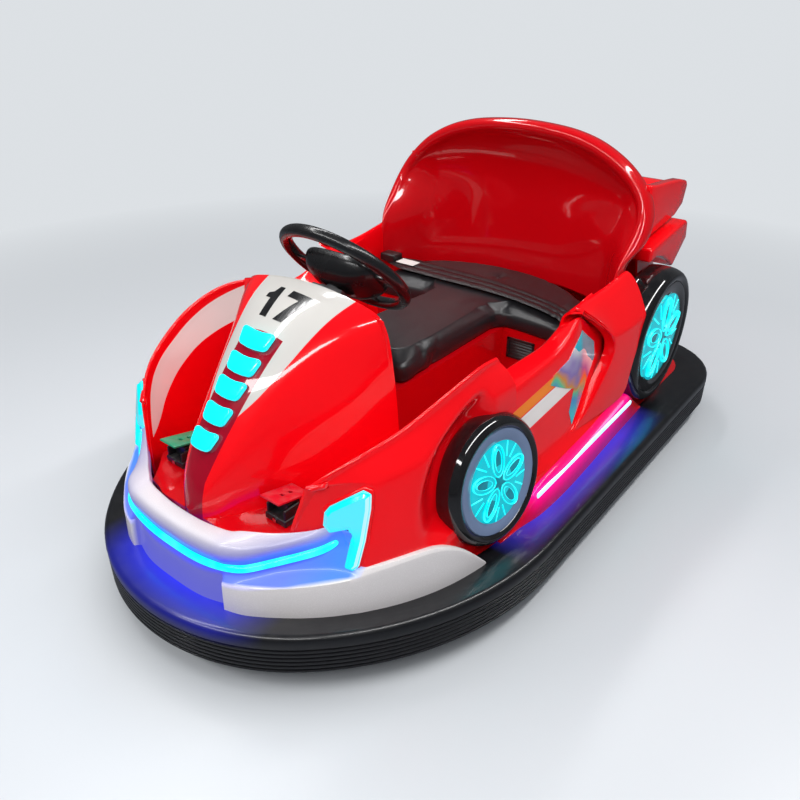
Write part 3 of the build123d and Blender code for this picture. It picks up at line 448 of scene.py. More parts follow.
class NodeSheet:
    """The nodes of one material or node group, added and linked by name."""

    def __init__(self, tree: bpy.types.NodeTree) -> None:
        """Start on an empty node tree."""
        self.tree = tree
        self.tree.nodes.clear()

    def add(self, kind: str, **settings: object) -> bpy.types.Node:
        """Add one node and set its properties, and its inputs by name or number.

        Args:
            kind: Blender's name of the node.
            **settings: Properties; `inputs` is a dict of input values.

        Returns:
            The new node.
        """
        node = self.tree.nodes.new(kind)
        inputs = settings.pop("inputs", {})
        for key, value in settings.items():
            setattr(node, key, value)
        for key, value in inputs.items():
            socket = node.inputs[key]
            if isinstance(value, Socket):
                self.tree.links.new(value, socket)
            else:
                socket.default_value = (*value, 1.0) if socket.type == "RGBA" else value
        return node

    def maths(self, operation: str, *values: object) -> Socket:
        """Result of one arithmetic step on numbers or sockets."""
        return self.add("ShaderNodeMath", operation=operation, inputs=dict(enumerate(values))).outputs[0]

    def times(self, *factors: object) -> Socket:
        """Product of numbers or sockets."""
        product = factors[0]
        for factor in factors[1:]:
            product = self.maths("MULTIPLY", product, factor)
        return product

    def plus(self, first: object, second: object) -> Socket:
        """Sum of two numbers or sockets."""
        return self.maths("ADD", first, second)

    def minus(self, first: object, second: object) -> Socket:
        """Difference of two numbers or sockets."""
        return self.maths("SUBTRACT", first, second)

    def spread(self, value: object, low: float, high: float, to: tuple[float, float] = (0.0, 1.0)) -> object:
        """Map a value from low..high to another range, clamped."""
        inputs = dict(enumerate((value, low, high, *to)))
        return self.add("ShaderNodeMapRange", inputs=inputs).outputs[0]

    def mix(self, share: object, first: object, second: object) -> Socket:
        """Mix two colours, given as sockets or RGB triples."""
        inputs = {0: share, 6: first, 7: second}
        return self.add("ShaderNodeMix", data_type="RGBA", inputs=inputs).outputs[2]

    def ramps(self, *steps: tuple) -> Socket:
        """Product of clamped ramps, each given as for spread."""
        return self.times(*(self.spread(*step) for step in steps))

    def noise(self, place: object, scale: object, detail: float = 3.0) -> Socket:
        """Noise over a place."""
        settings = {"Vector": place, "Scale": scale, "Detail": detail}
        return self.add("ShaderNodeTexNoise", inputs=settings).outputs["Fac"]

    def place(self) -> Socket:
        """The point on the surface in the car's frame."""
        return self.add("ShaderNodeTexCoord").outputs["Object"]

    def axes(self, place: object) -> tuple[object, object, object]:
        """The three coordinates of a place."""
        node = self.add("ShaderNodeSeparateXYZ", inputs={0: place})
        return node.outputs[0], node.outputs[1], node.outputs[2]

    def line(self, value: object, points: Sequence[tuple[float, float]]) -> Socket:
        """Value that follows a smooth line through points as another value runs along them."""
        low, high = points[0][0], points[-1][0]
        bottom = min(level for _, level in points)
        top = max(level for _, level in points)
        node = self.add("ShaderNodeFloatCurve", inputs={"Value": self.spread(value, low, high)})
        curve = node.mapping.curves[0]
        for number, (where, level) in enumerate(points):
            spot = ((where - low) / (high - low), (level - bottom) / (top - bottom))
            if number in (0, len(points) - 1):
                curve.points[0 if number == 0 else len(curve.points) - 1].location = spot
            else:
                curve.points.new(*spot)
        node.mapping.update()
        return self.spread(node.outputs[0], 0.0, 1.0, (bottom, top))

    def inside(self, *margins: object, blur: float = 0.0004) -> Socket:
        """Mask that is 1 where every margin is above zero, with a thin soft edge."""
        mask = self.spread(margins[0], -blur, blur)
        for margin in margins[1:]:
            mask = self.times(mask, self.spread(margin, -blur, blur))
        return mask


def moulded_life() -> bpy.types.ShaderNodeTree:
    """Node group that all finishes share: slow tone drift, gloss drift, grain and dust.

    Returns:
        The group, with inputs Drift, Gloss, Grain Scale, Grain Depth and Dust, and outputs
        Tone, Dust, Roughness and Normal.
    """
    known = bpy.data.node_groups.get("moulded_life")
    if known is not None:
        return known
    group = bpy.data.node_groups.new("moulded_life", "ShaderNodeTree")
    defaults = (("Drift", 0.1), ("Gloss", 0.2), ("Grain Scale", 400.0), ("Grain Depth", 0.1), ("Dust", 0.1))
    for name, value in defaults:
        group.interface.new_socket(name, in_out="INPUT", socket_type="NodeSocketFloat").default_value = value
    for name in ("Tone", "Dust", "Roughness"):
        group.interface.new_socket(name, in_out="OUTPUT", socket_type="NodeSocketFloat")
    group.interface.new_socket("Normal", in_out="OUTPUT", socket_type="NodeSocketVector")
    sheet = NodeSheet(group)
    given = sheet.add("NodeGroupInput").outputs
    place = sheet.place()
    slow = sheet.noise(place, 5.0, 2.0)
    patches = sheet.noise(place, 38.0, 6.0)
    _, _, up = sheet.axes(sheet.add("ShaderNodeNewGeometry").outputs["Normal"])
    dust = sheet.times(sheet.ramps((up, 0.2, 0.95), (patches, 0.42, 0.75)), given["Dust"])
    drift = sheet.times(sheet.minus(slow, 0.5), given["Drift"])
    grain = sheet.noise(place, given["Grain Scale"], 4.0)
    height = {"Strength": given["Grain Depth"], "Distance": 0.001, "Height": grain}
    bump = sheet.add("ShaderNodeBump", inputs=height)
    rough = sheet.plus(given["Gloss"], sheet.times(sheet.minus(patches, 0.5), 0.12))
    rough = sheet.plus(rough, sheet.times(dust, 0.5))
    sheet.add("NodeGroupOutput", inputs={
        "Tone": sheet.plus(drift, 1.0), "Dust": dust, "Roughness": sheet.maths("MAXIMUM", rough, 0.03),
        "Normal": bump.outputs[0],
    })
    return group


Painter = Callable[[NodeSheet, object, object], object]
DUST: Colour = (0.32, 0.30, 0.28)


@dataclass(frozen=True)
class Finish:
    """A surface with one colour or a painted pattern, and the life of a real moulding.

    Attributes:
        name: Name of the material.
        colour: Main colour, linear.
        gloss: Mean roughness.
        metallic: 1 for bare metal.
        coat: Clear coat over the colour.
        drift: How far the tone wanders.
        grain: Noise scale of the grain.
        depth: Height of the grain's bump.
        dust: Share of dust on upward faces.
        specular: Specular level.
        coat_ior: How strongly the coat mirrors its surroundings.
        coat_haze: Roughness of the coat.
        paint: Gives the colour socket from the sheet, the place and the main colour.
        spill: Gives the colour of the lamps' light that lies on the surface.
    """

    name: str
    colour: Colour
    gloss: float = 0.2
    metallic: float = 0.0
    coat: float = 0.0
    drift: float = 0.16
    grain: float = 300.0
    depth: float = 0.03
    dust: float = 0.08
    specular: float = 0.5
    coat_ior: float = 1.50
    coat_haze: float = 0.03
    paint: Painter | None = None
    spill: Painter | None = None

    def material(self) -> bpy.types.Material:
        """The finished material, made once."""
        known = bpy.data.materials.get(f"look_{self.name}")
        if known is not None:
            return known
        material = bpy.data.materials.new(f"look_{self.name}")
        material.use_nodes = True
        sheet = NodeSheet(material.node_tree)
        life = sheet.add("ShaderNodeGroup", node_tree=moulded_life())
        amounts = (self.drift, self.gloss, self.grain, self.depth, self.dust)
        for socket, value in zip(life.inputs, amounts):
            socket.default_value = value
        place = sheet.place()
        colour: object = self.colour
        if self.paint is not None:
            colour = self.paint(sheet, place, self.colour)
        toned = {"Value": life.outputs["Tone"], "Color": colour}
        tone = sheet.add("ShaderNodeHueSaturation", inputs=toned).outputs[0]
        shader = sheet.add("ShaderNodeBsdfPrincipled", inputs={
            "Base Color": sheet.mix(life.outputs["Dust"], tone, DUST), "Metallic": self.metallic,
            "Roughness": life.outputs["Roughness"], "Normal": life.outputs["Normal"],
            "Coat Weight": self.coat, "Coat Roughness": self.coat_haze, "Coat IOR": self.coat_ior,
            "Specular IOR Level": self.specular,
        })
        sheet.add("ShaderNodeOutputMaterial", inputs={0: shader.outputs[0]})
        self.light(sheet, shader, place)
        return material

    def light(self, sheet: NodeSheet, shader: bpy.types.Node, place: object) -> None:
        """Add the light of nearby lamps to the shader, where the finish asks for it."""
        if self.spill is not None:
            sheet.tree.links.new(self.spill(sheet, place, self.colour), shader.inputs["Emission Color"])
            shader.inputs["Emission Strength"].default_value = 1.0


@dataclass(frozen=True)
class Lit(Finish):
    """A lit cover: moulded plastic that glows, brighter where its lamps sit.

    Attributes:
        glow: Colour of the light, linear.
        strength: Strength of the light.
        core: Colour of the brightest parts.
        patch: Noise scale of the bright parts.
    """

    glow: Colour = (0.0, 0.8, 0.9)
    strength: float = 1.0
    core: Colour = (0.1, 0.9, 1.0)
    patch: float = 14.0

    def light(self, sheet: NodeSheet, shader: bpy.types.Node, place: object) -> None:
        """Let the cover glow, brighter in patches."""
        bright = sheet.spread(sheet.noise(place, self.patch, 1.0), 0.35, 0.65)
        colour = sheet.mix(bright, self.glow, self.core)
        sheet.tree.links.new(colour, shader.inputs["Emission Color"])
        shader.inputs["Emission Strength"].default_value = self.strength


RED: Colour = (0.95, 0.0012, 0.006)
# The red gelcoat painted darker, as painted shade on the seat back, floor pan and seat base inside the
# cockpit.
SHADED_RED: Colour = (0.60, 0.0010, 0.005)
# Red painted dark in the hood's light channel, as painted shade.
SHADED_CRIMSON: Colour = (0.34, 0.0, 0.014)
CREAM: Colour = (0.60, 0.575, 0.54)
BLACK: Colour = (0.006, 0.006, 0.007)
# The cream painted lighter: on the wings' crescents it is painted light against the shade of the inner walls;
# the door's white stripe uses it too.
LIGHTENED_CREAM: Colour = (0.90, 0.83, 0.79)
ORANGE: Colour = (1.0, 0.24, 0.006)


def v_panel(sheet: NodeSheet, place: object, colour: Colour) -> object:
    """Paint of the hood: a white V on red; the channel for the lights, down to the nose tip, is painted dark
    crimson as painted shade of a recess that the shell does not have.
    """
    across, along, _ = sheet.axes(place)
    width = sheet.maths("ABSOLUTE", across)
    limit = sheet.line(along, HOOD_PANEL)
    channel = sheet.line(along, HOOD_CHANNEL)
    panel = sheet.inside(sheet.minus(limit, width), sheet.minus(along, HOOD_PANEL[0][0]))
    # Mask of the channel that is painted dark as shade.
    channel_shade = sheet.inside(sheet.minus(channel, width), sheet.minus(HOOD_CHANNEL[-1][0], along))
    white = sheet.times(panel, sheet.minus(1.0, channel_shade))
    return sheet.mix(white, sheet.mix(channel_shade, colour, SHADED_CRIMSON), CREAM)


def crescent(sheet: NodeSheet, place: object, colour: Colour) -> object:
    """Paint of the wings' inner walls: a white crescent under a red border, its white painted lighter than
    the hood's cream as painted light against the shade on these walls.
    """
    _, along, up = sheet.axes(place)
    over = sheet.minus(sheet.line(along, CRESCENT_TOP), up)
    under = sheet.minus(up, sheet.line(along, CRESCENT_BOTTOM))
    white = sheet.inside(over, under, sheet.minus(along, CRESCENT_TOP[0][0]))
    return sheet.mix(white, colour, LIGHTENED_CREAM)


def door_stripes(sheet: NodeSheet, place: object, colour: Colour) -> object:
    """Paint of the door: an orange and a white stripe running back into the scoop, outside only."""
    across, along, up = sheet.axes(place)
    outside = sheet.minus(sheet.maths("ABSOLUTE", across), STRIPE_SIDE)
    slope = sheet.minus(up, sheet.times(along, STRIPE_RISE))
    colours = colour
    for low, high, tint in STRIPES:
        stripe = (sheet.minus(slope, low), sheet.minus(high, slope))
        band = sheet.inside(*stripe, sheet.minus(STRIPE_END, along), outside)
        colours = sheet.mix(band, colours, tint)
    return colours


def oil_film(sheet: NodeSheet, place: object, colour: Colour) -> object:
    """Iridescent foil: cyan that turns to blue, green, orange and violet in bands."""
    wander = sheet.noise(place, 7.0, 2.0)
    _, along, up = sheet.axes(place)
    run = sheet.plus(sheet.times(up, 3.2), sheet.times(wander, 0.9))
    run = sheet.maths("FRACT", sheet.plus(run, sheet.times(along, 1.6)))
    ramp = sheet.add("ShaderNodeValToRGB", inputs={"Fac": run})
    stops = (
        (0.0, (0.0, 0.62, 0.80)), (0.42, (0.06, 0.80, 0.92)), (0.56, (0.08, 0.40, 0.85)),
        (0.66, (0.16, 0.74, 0.36)), (0.72, (0.95, 0.34, 0.03)), (0.79, (0.34, 0.22, 0.60)),
        (1.0, (0.0, 0.62, 0.80)),
    )
    elements = ramp.color_ramp.elements
    for number, (spot, tint) in enumerate(stops):
        element = elements[0] if number == 0 else elements.new(spot)
        element.position = spot
        element.color = (*tint, 1.0)
    elements.remove(elements[len(elements) - 1])
    return ramp.outputs[0]


def round_strip(sheet: NodeSheet, place: object) -> tuple[object, object, object]:
    """Half width, height over the nose strip, and a mask of what lies over the lip's lower wall."""
    across, _, up = sheet.axes(place)
    width = sheet.maths("ABSOLUTE", across)
    over_wall = sheet.spread(sheet.minus(up, sheet.line(width, WALL_TOP)), -0.001, 0.003)
    return width, sheet.minus(up, sheet.line(width, STRIP_HEIGHT)), over_wall


def lip_spill(sheet: NodeSheet, place: object, colour: Colour) -> object:
    """Blue light of the nose strip on the lip: deep in the groove, violet on the chin, cyan by the lamps."""
    width, rise, over_wall = round_strip(sheet, place)
    nose = sheet.spread(width, 0.374, 0.352)
    groove = sheet.ramps((rise, 0.036, 0.014), (rise, -0.040, -0.014))
    haze = sheet.ramps((rise, 0.070, 0.026, (0.0, 0.9)), (rise, 0.0, 0.01))
    ledge = sheet.times(sheet.spread(rise, -0.008, -0.016), over_wall, sheet.spread(width, 0.145, 0.158))
    chin = sheet.ramps((rise, -0.010, -0.022), (width, 0.152, 0.146))
    near = sheet.times(sheet.ramps((width, 0.25, 0.325), (rise, 0.050, 0.006)), over_wall, 0.8)
    light: object = (0.0, 0.0, 0.0)
    for share, tint in (
        (haze, (0.10, 0.10, 0.50)), (groove, (0.030, 0.040, 1.0)), (chin, (0.090, 0.095, 0.50)),
        (ledge, (0.09, 0.19, 0.88)), (near, (0.0, 0.24, 0.95)),
    ):
        light = sheet.mix(sheet.times(share, nose), light, tint)
    return light


def lip_pearl(sheet: NodeSheet, place: object, colour: Colour) -> object:
    """Silver-white lacquer with very fine sparkle, painted dark blue-black where the strip's blue light is
    painted, as painted shade of the groove and chin under that glow.
    """
    width, rise, over_wall = round_strip(sheet, place)
    under = sheet.maths("MAXIMUM", sheet.spread(width, 0.152, 0.146), over_wall)
    # Where the strip's light is painted, the lacquer is painted dark: painted shade of the groove and chin.
    lit = sheet.times(
        sheet.ramps((rise, 0.072, 0.018), (width, 0.374, 0.352)),
        sheet.maths("MAXIMUM", under, sheet.spread(rise, -0.02, -0.012)), 0.96,
    )
    sparkle = sheet.spread(sheet.noise(place, 900.0, 1.0), 0.55, 0.75)
    return sheet.mix(lit, sheet.mix(sparkle, colour, (0.96, 0.92, 0.91)), (0.05, 0.05, 0.10))


def seven_light_and_shading(sheet: NodeSheet, place: object, colour: Colour) -> object:
    """Light of the front lamps: cyan that changes with where each face looks, as painted shading: paler on
    the block's forward face, and a whitish painted highlight on the outer bevel.
    """
    _, _, up = sheet.axes(place)
    side, _, tilt = sheet.axes(sheet.add("ShaderNodeNewGeometry").outputs["Normal"])
    # Faces that look forward get paler cyan: painted shade.
    face = sheet.ramps((tilt, 0.45, 0.30), (up, 0.318, 0.350))
    bright = sheet.spread(sheet.noise(place, 12.0, 1.0), 0.35, 0.65)
    light = sheet.mix(bright, (0.0, 0.80, 0.92), (0.0, 0.96, 1.0))
    light = sheet.mix(face, light, (0.10, 0.72, 0.84))
    # Faces that look sideways get whitish: painted highlight.
    bevel = sheet.spread(sheet.maths("ABSOLUTE", side), 0.74, 0.86, (0.0, 0.8))
    return sheet.mix(bevel, light, (0.62, 0.86, 0.92))


def deck_spill(sheet: NodeSheet, place: object, colour: Colour) -> object:
    """Light on the rubber deck: blue in front of the chin, violet beside the light bars."""
    across, along, up = sheet.axes(place)
    width = sheet.maths("ABSOLUTE", across)
    parts = (sheet.times(width, 0.40), sheet.plus(along, 0.862))
    squared = [sheet.maths("POWER", part, 2.0) for part in parts]
    reach = sheet.maths("SQRT", sheet.plus(*squared))
    chin = sheet.ramps((reach, 0.122, 0.030), (up, 0.120, 0.150), (width, 0.27, 0.17))
    side = sheet.ramps(
        (width, 0.565, 0.505), (along, 0.42, 0.22), (along, -0.40, -0.22), (up, 0.140, 0.152, (0.0, 0.75))
    )
    blue = sheet.mix(chin, (0.0, 0.0, 0.0), (0.020, 0.030, 0.95))
    return sheet.mix(side, blue, (0.05, 0.05, 0.90))


def skirt_spill(sheet: NodeSheet, place: object, colour: Colour) -> object:
    """Magenta light of the side bar on its skirt."""
    _, along, up = sheet.axes(place)
    rise = sheet.minus(up, sheet.plus(sheet.times(along, 0.0228), 0.2281))
    near = sheet.ramps(
        (rise, 0.050, 0.004), (rise, -0.062, -0.004), (along, -0.31, -0.24), (along, 0.35, 0.28)
    )
    return sheet.mix(sheet.maths("POWER", near, 1.6), (0.0, 0.0, 0.0), (0.95, 0.0, 0.42))


def weave(sheet: NodeSheet, place: object, colour: Colour) -> object:
    """Colour of woven webbing: fine light and dark ribs."""
    waves = sheet.add("ShaderNodeTexWave", inputs={"Vector": place, "Scale": 160.0, "Distortion": 0.4})
    light = tuple(1.8 * part for part in colour)
    return sheet.mix(waves.outputs["Fac"], colour, light)


# Painted outlines, in metres: place along the car, then the half width or the height.
HOOD_PANEL = metres((-745, 20), (-700, 52), (-650, 76), (-550, 106), (-440, 132))
# HOOD_CHANNEL bounds the channel painted dark as shade round the spine lamps.
HOOD_CHANNEL = metres((-800, 30), (-760, 40), (-660, 50), (-582, 56))
CRESCENT_TOP = metres(
    (-735, 330), (-715, 387), (-687, 427), (-640, 459), (-565, 489), (-494, 516), (-405, 538), (-290, 549),
)
CRESCENT_BOTTOM = metres((-735, 330), (-700, 345), (-640, 385), (-560, 425), (-460, 455), (-290, 470))
STRIP_HEIGHT = metres(
    (0, 237), (100, 241), (151, 251.5), (185, 255), (222, 260.5), (258, 270), (298, 289), (322, 310),
    (360, 314),
)
WALL_TOP = metres((0, 222), (160, 224), (193, 227.5), (245, 228.5), (290, 234), (371, 245))
STRIPE_RISE = 0.10
STRIPE_END = 0.10
STRIPE_SIDE = 0.4335
STRIPES = ((0.436, 0.462, ORANGE), (0.390, 0.433, LIGHTENED_CREAM))

GELCOAT = {
    "gloss": 0.20, "coat": 1.0, "grain": 220.0, "depth": 0.008, "dust": 0.0, "specular": 0.12, "drift": 0.10,
}

FINISHES = {
    "red": Finish("red_gelcoat", RED, **GELCOAT),
    # Key deep: the red gelcoat in a darker red, painted shade for the cockpit's inner parts.
    "deep": Finish("shaded_gelcoat", SHADED_RED, **GELCOAT),
    "hood": Finish("hood_gelcoat", RED, paint=v_panel, **GELCOAT),
    "wing": Finish("wing_gelcoat", RED, paint=crescent, **GELCOAT),
    "door": Finish("door_gelcoat", RED, paint=door_stripes, **GELCOAT),
    "skirt": Finish("skirt_gelcoat", RED, spill=skirt_spill, **GELCOAT),
    "pearl": Finish(
        "pearl_lip", (0.80, 0.75, 0.74), gloss=0.42, metallic=0.10, coat=0.35, grain=1600.0, dust=0.0,
        drift=0.05, paint=lip_pearl, spill=lip_spill,
    ),
    "ring": Finish(
        "ring_rubber", (0.0050, 0.0052, 0.0070), gloss=0.32, grain=500.0, depth=0.04, dust=0.015, drift=0.2,
        coat=0.4, coat_haze=0.14, spill=deck_spill,
    ),
    "tyre": Finish("gloss_tyre", BLACK, gloss=0.10, coat=0.8, depth=0.01, dust=0.04),
    "road": Finish("road_rubber", (0.02, 0.02, 0.02), gloss=0.7, grain=260.0, depth=0.3, dust=0.3),
    "vinyl": Finish(
        "seat_vinyl", (0.014, 0.014, 0.016), gloss=0.34, grain=620.0, depth=0.20, dust=0.03, drift=0.3,
    ),
    "soft": Finish("soft_black", (0.010, 0.010, 0.011), gloss=0.38, grain=900.0, depth=0.10, dust=0.06),
    "grip": Finish(
        "wheel_grip", (0.009, 0.009, 0.010), gloss=0.26, grain=1100.0, depth=0.05, dust=0.02, coat=0.25,
    ),
    "steel": Finish(
        "frame_steel", (0.05, 0.052, 0.055), gloss=0.45, metallic=0.3, grain=180.0, depth=0.2, dust=0.25,
    ),
    "bright": Finish("bright_steel", (0.62, 0.62, 0.64), gloss=0.22, metallic=1.0, depth=0.05),
    "foil": Finish(
        "scoop_foil", (0.0, 0.6, 0.8), gloss=0.14, metallic=0.35, coat=1.0, depth=0.01, paint=oil_film,
    ),
    "webbing": Finish(
        "belt_webbing", (0.006, 0.006, 0.007), gloss=0.4, grain=700.0, depth=0.3, dust=0.0, paint=weave,
    ),
    "label": Finish("blank_label", (0.78, 0.76, 0.72), gloss=0.5, grain=500.0, depth=0.05),
    "number": Finish("number_film", (0.008, 0.008, 0.009), gloss=0.18, coat=0.6, depth=0.02, dust=0.04),
    "rim": Finish("rim_band", (0.16, 0.22, 0.36), gloss=0.24, coat=0.5, depth=0.02),
    "pedal_red": Finish("pedal_red", (0.62, 0.006, 0.02), gloss=0.34, grain=400.0, depth=0.08, dust=0.2),
    "pedal_green": Finish("pedal_green", (0.0, 0.30, 0.14), gloss=0.34, grain=400.0, depth=0.08, dust=0.2),
    "battery": Finish("battery_case", (0.03, 0.03, 0.035), gloss=0.5, depth=0.2, dust=0.3),
    "cyan": Lit(
        "cyan_cover", (0.0, 0.50, 0.56), gloss=0.18, coat=0.6, depth=0.02, dust=0.0,
        glow=(0.0, 0.72, 0.84), core=(0.0, 0.95, 1.0), strength=0.85,
    ),
    "seven": Finish(
        "seven_cover", (0.0, 0.16, 0.20), gloss=0.16, coat=0.8, depth=0.02, dust=0.0, spill=seven_light_and_shading,
    ),
    "hub": Lit(
        "hub_cover", (0.0, 0.34, 0.40), gloss=0.18, coat=0.6, depth=0.02, dust=0.0,
        glow=(0.0, 0.50, 0.62), core=(0.0, 0.60, 0.70), strength=0.55, patch=30.0,
    ),
    # Petals and flutes: the lit cover brighter, as painted highlight on the raised relief.
    "petal": Lit(
        "petal_cover", (0.0, 0.6, 0.66), gloss=0.16, coat=0.7, depth=0.02, dust=0.0,
        glow=(0.0, 0.86, 0.96), core=(0.05, 0.98, 1.0), strength=0.9, patch=30.0,
    ),
    # Hollows: the lit cover painted dark, as painted shade; the star middle takes it too.
    "hollow_shade": Lit(
        "petal_hollow_shade", (0.0, 0.14, 0.18), gloss=0.2, coat=0.6, depth=0.02, dust=0.0,
        glow=(0.0, 0.13, 0.19), core=(0.0, 0.22, 0.30), strength=0.6, patch=40.0,
    ),
    "strip": Lit(
        "front_strip", (0.0, 0.5, 0.6), gloss=0.2, dust=0.0, glow=(0.0, 0.80, 1.0), core=(0.06, 0.96, 1.0),
        strength=1.0, patch=26.0,
    ),
    "side_strip": Lit(
        "side_strip", (0.4, 0.8, 1.0), gloss=0.2, dust=0.0, glow=(0.40, 0.72, 1.0), core=(0.60, 0.90, 1.0),
        strength=1.1, patch=26.0,
    ),
    "tail": Lit(
        "tail_cover", (0.5, 0.0, 0.01), gloss=0.15, coat=0.8, dust=0.02, glow=(0.5, 0.0, 0.01),
        core=(0.9, 0.02, 0.01), strength=0.6, patch=30.0,
    ),
}


def paint(name: str) -> bpy.types.Material:
    """The material of a named finish."""
    return FINISHES[name].material()


# ------------------------------------------------------------------ shapes from sections


def arc_points(start: tuple, middle: tuple, end: tuple, count: int) -> list[tuple[float, float]]:
    """Points on the flat arc through three points, evenly spread, both ends included."""
    (ax, ay), (bx, by), (cx, cy) = start, middle, end
    twice = 2 * (ax * (by - cy) + bx * (cy - ay) + cx * (ay - by))
    if abs(twice) < 1e-9:
        return [(ax + (cx - ax) * i / (count - 1), ay + (cy - ay) * i / (count - 1)) for i in range(count)]
    a2, b2, c2 = ax * ax + ay * ay, bx * bx + by * by, cx * cx + cy * cy
    centre = Vector((
        (a2 * (by - cy) + b2 * (cy - ay) + c2 * (ay - by)) / twice,
        (a2 * (cx - bx) + b2 * (ax - cx) + c2 * (bx - ax)) / twice,
    ))
    spoke = Vector(start) - centre
    full = spoke.angle_signed(Vector(end) - centre)
    half = spoke.angle_signed(Vector(middle) - centre)
    if full * half < 0 or abs(half) > abs(full):
        full -= 2 * pi if full > 0 else -2 * pi
    points = []
    for i in range(count):
        turn = Matrix.Rotation(-full * i / (count - 1), 2)
        points.append(tuple(centre + turn @ spoke))
    return points


def turn_about(x: float, y: float, radius: float, first: float, last: float, steps: int) -> list[tuple]:
    """Points on an arc about a centre, from one angle to another, both ends included."""
    angles = [first + (last - first) * step / steps for step in range(steps + 1)]
    return [(x + radius * cos(angle), y + radius * sin(angle)) for angle in angles]


def blend(first: Point, second: Point, share: float) -> Point:
    """Point between two points."""
    return tuple(Vector(first).lerp(Vector(second), share))


# ------------------------------------------------------------------ rubber ring


@dataclass
class RubberRing:
    """Thick rubber ring round the car, with a rounded top edge and ribs round its wall.

    Attributes:
        side_front_y: Where the straight sides meet the front side arcs.
        corner: Radius of the rear corners.
        band: Width of the rubber seen from above.
        edge: Radius of the top edge.
        chamfer: Size of the bottom edge's chamfer.
        rib: Depth, height, pitch and number of the grooves, and the lowest one's rise.
    """

    half_width: float = 0.575
    rear_y: float = 0.946
    side_front_y: float = -0.302
    side_radius: float = 0.719
    nose_radius: float = 0.500
    nose_y: float = -0.467
    corner: float = 0.250
    band: float = 0.100
    bottom: float = 0.056
    edge: float = 0.014
    chamfer: float = 0.009
    rib: tuple = (0.003, 0.0045, 0.0105, 6, 0.014)
    steps: int = 20

    def outline(self, inset: float) -> list[tuple[float, float]]:
        """Closed plan of the ring, moved inwards."""
        nose_turn = atan2(self.nose_y - self.side_front_y, self.side_radius - self.half_width)
        half = []
        for x, y, radius, first, last in (
            (0.0, self.nose_y, self.nose_radius, -pi / 2, nose_turn),
            (self.half_width - self.side_radius, self.side_front_y, self.side_radius, nose_turn, 0.0),
            (self.half_width - self.corner, self.rear_y - self.corner, self.corner, 0.0, pi / 2),
        ):
            half += turn_about(x, y, radius - inset, first, last, self.steps)
        return half + [(-x, y) for x, y in reversed(half)]

    def section(self) -> list[tuple[float, float]]:
        """Inset and height of the points round the rubber's section."""
        depth, height, pitch, count, rise = self.rib
        points = [(self.band, self.bottom), (self.band, DECK), (self.band * 0.5, DECK)]
        points += turn_about(self.edge, DECK - self.edge, self.edge, pi / 2, pi, 6)
        for number in reversed(range(count)):
            low = self.bottom + rise + number * pitch
            high = low + height
            points += [(0.0, high), (depth, high), (depth, low), (0.0, low)]
        foot = [(0.0, self.bottom + self.chamfer), (self.chamfer, self.bottom), (self.band, self.bottom)]
        return points + foot

    def build(self) -> None:
        """Model the ring in one closed piece."""
        lines = [[(x, y, height) for x, y in self.outline(inset)] for inset, height in self.section()]
        piece = clean(cage("rubber_ring", lines))
        soften(piece, 0.0008, 2, 50)
        hand_over(surface(piece, "ring", angle=40), "ring_rubber", "bumper_ring")


# ------------------------------------------------------------------ nose hood


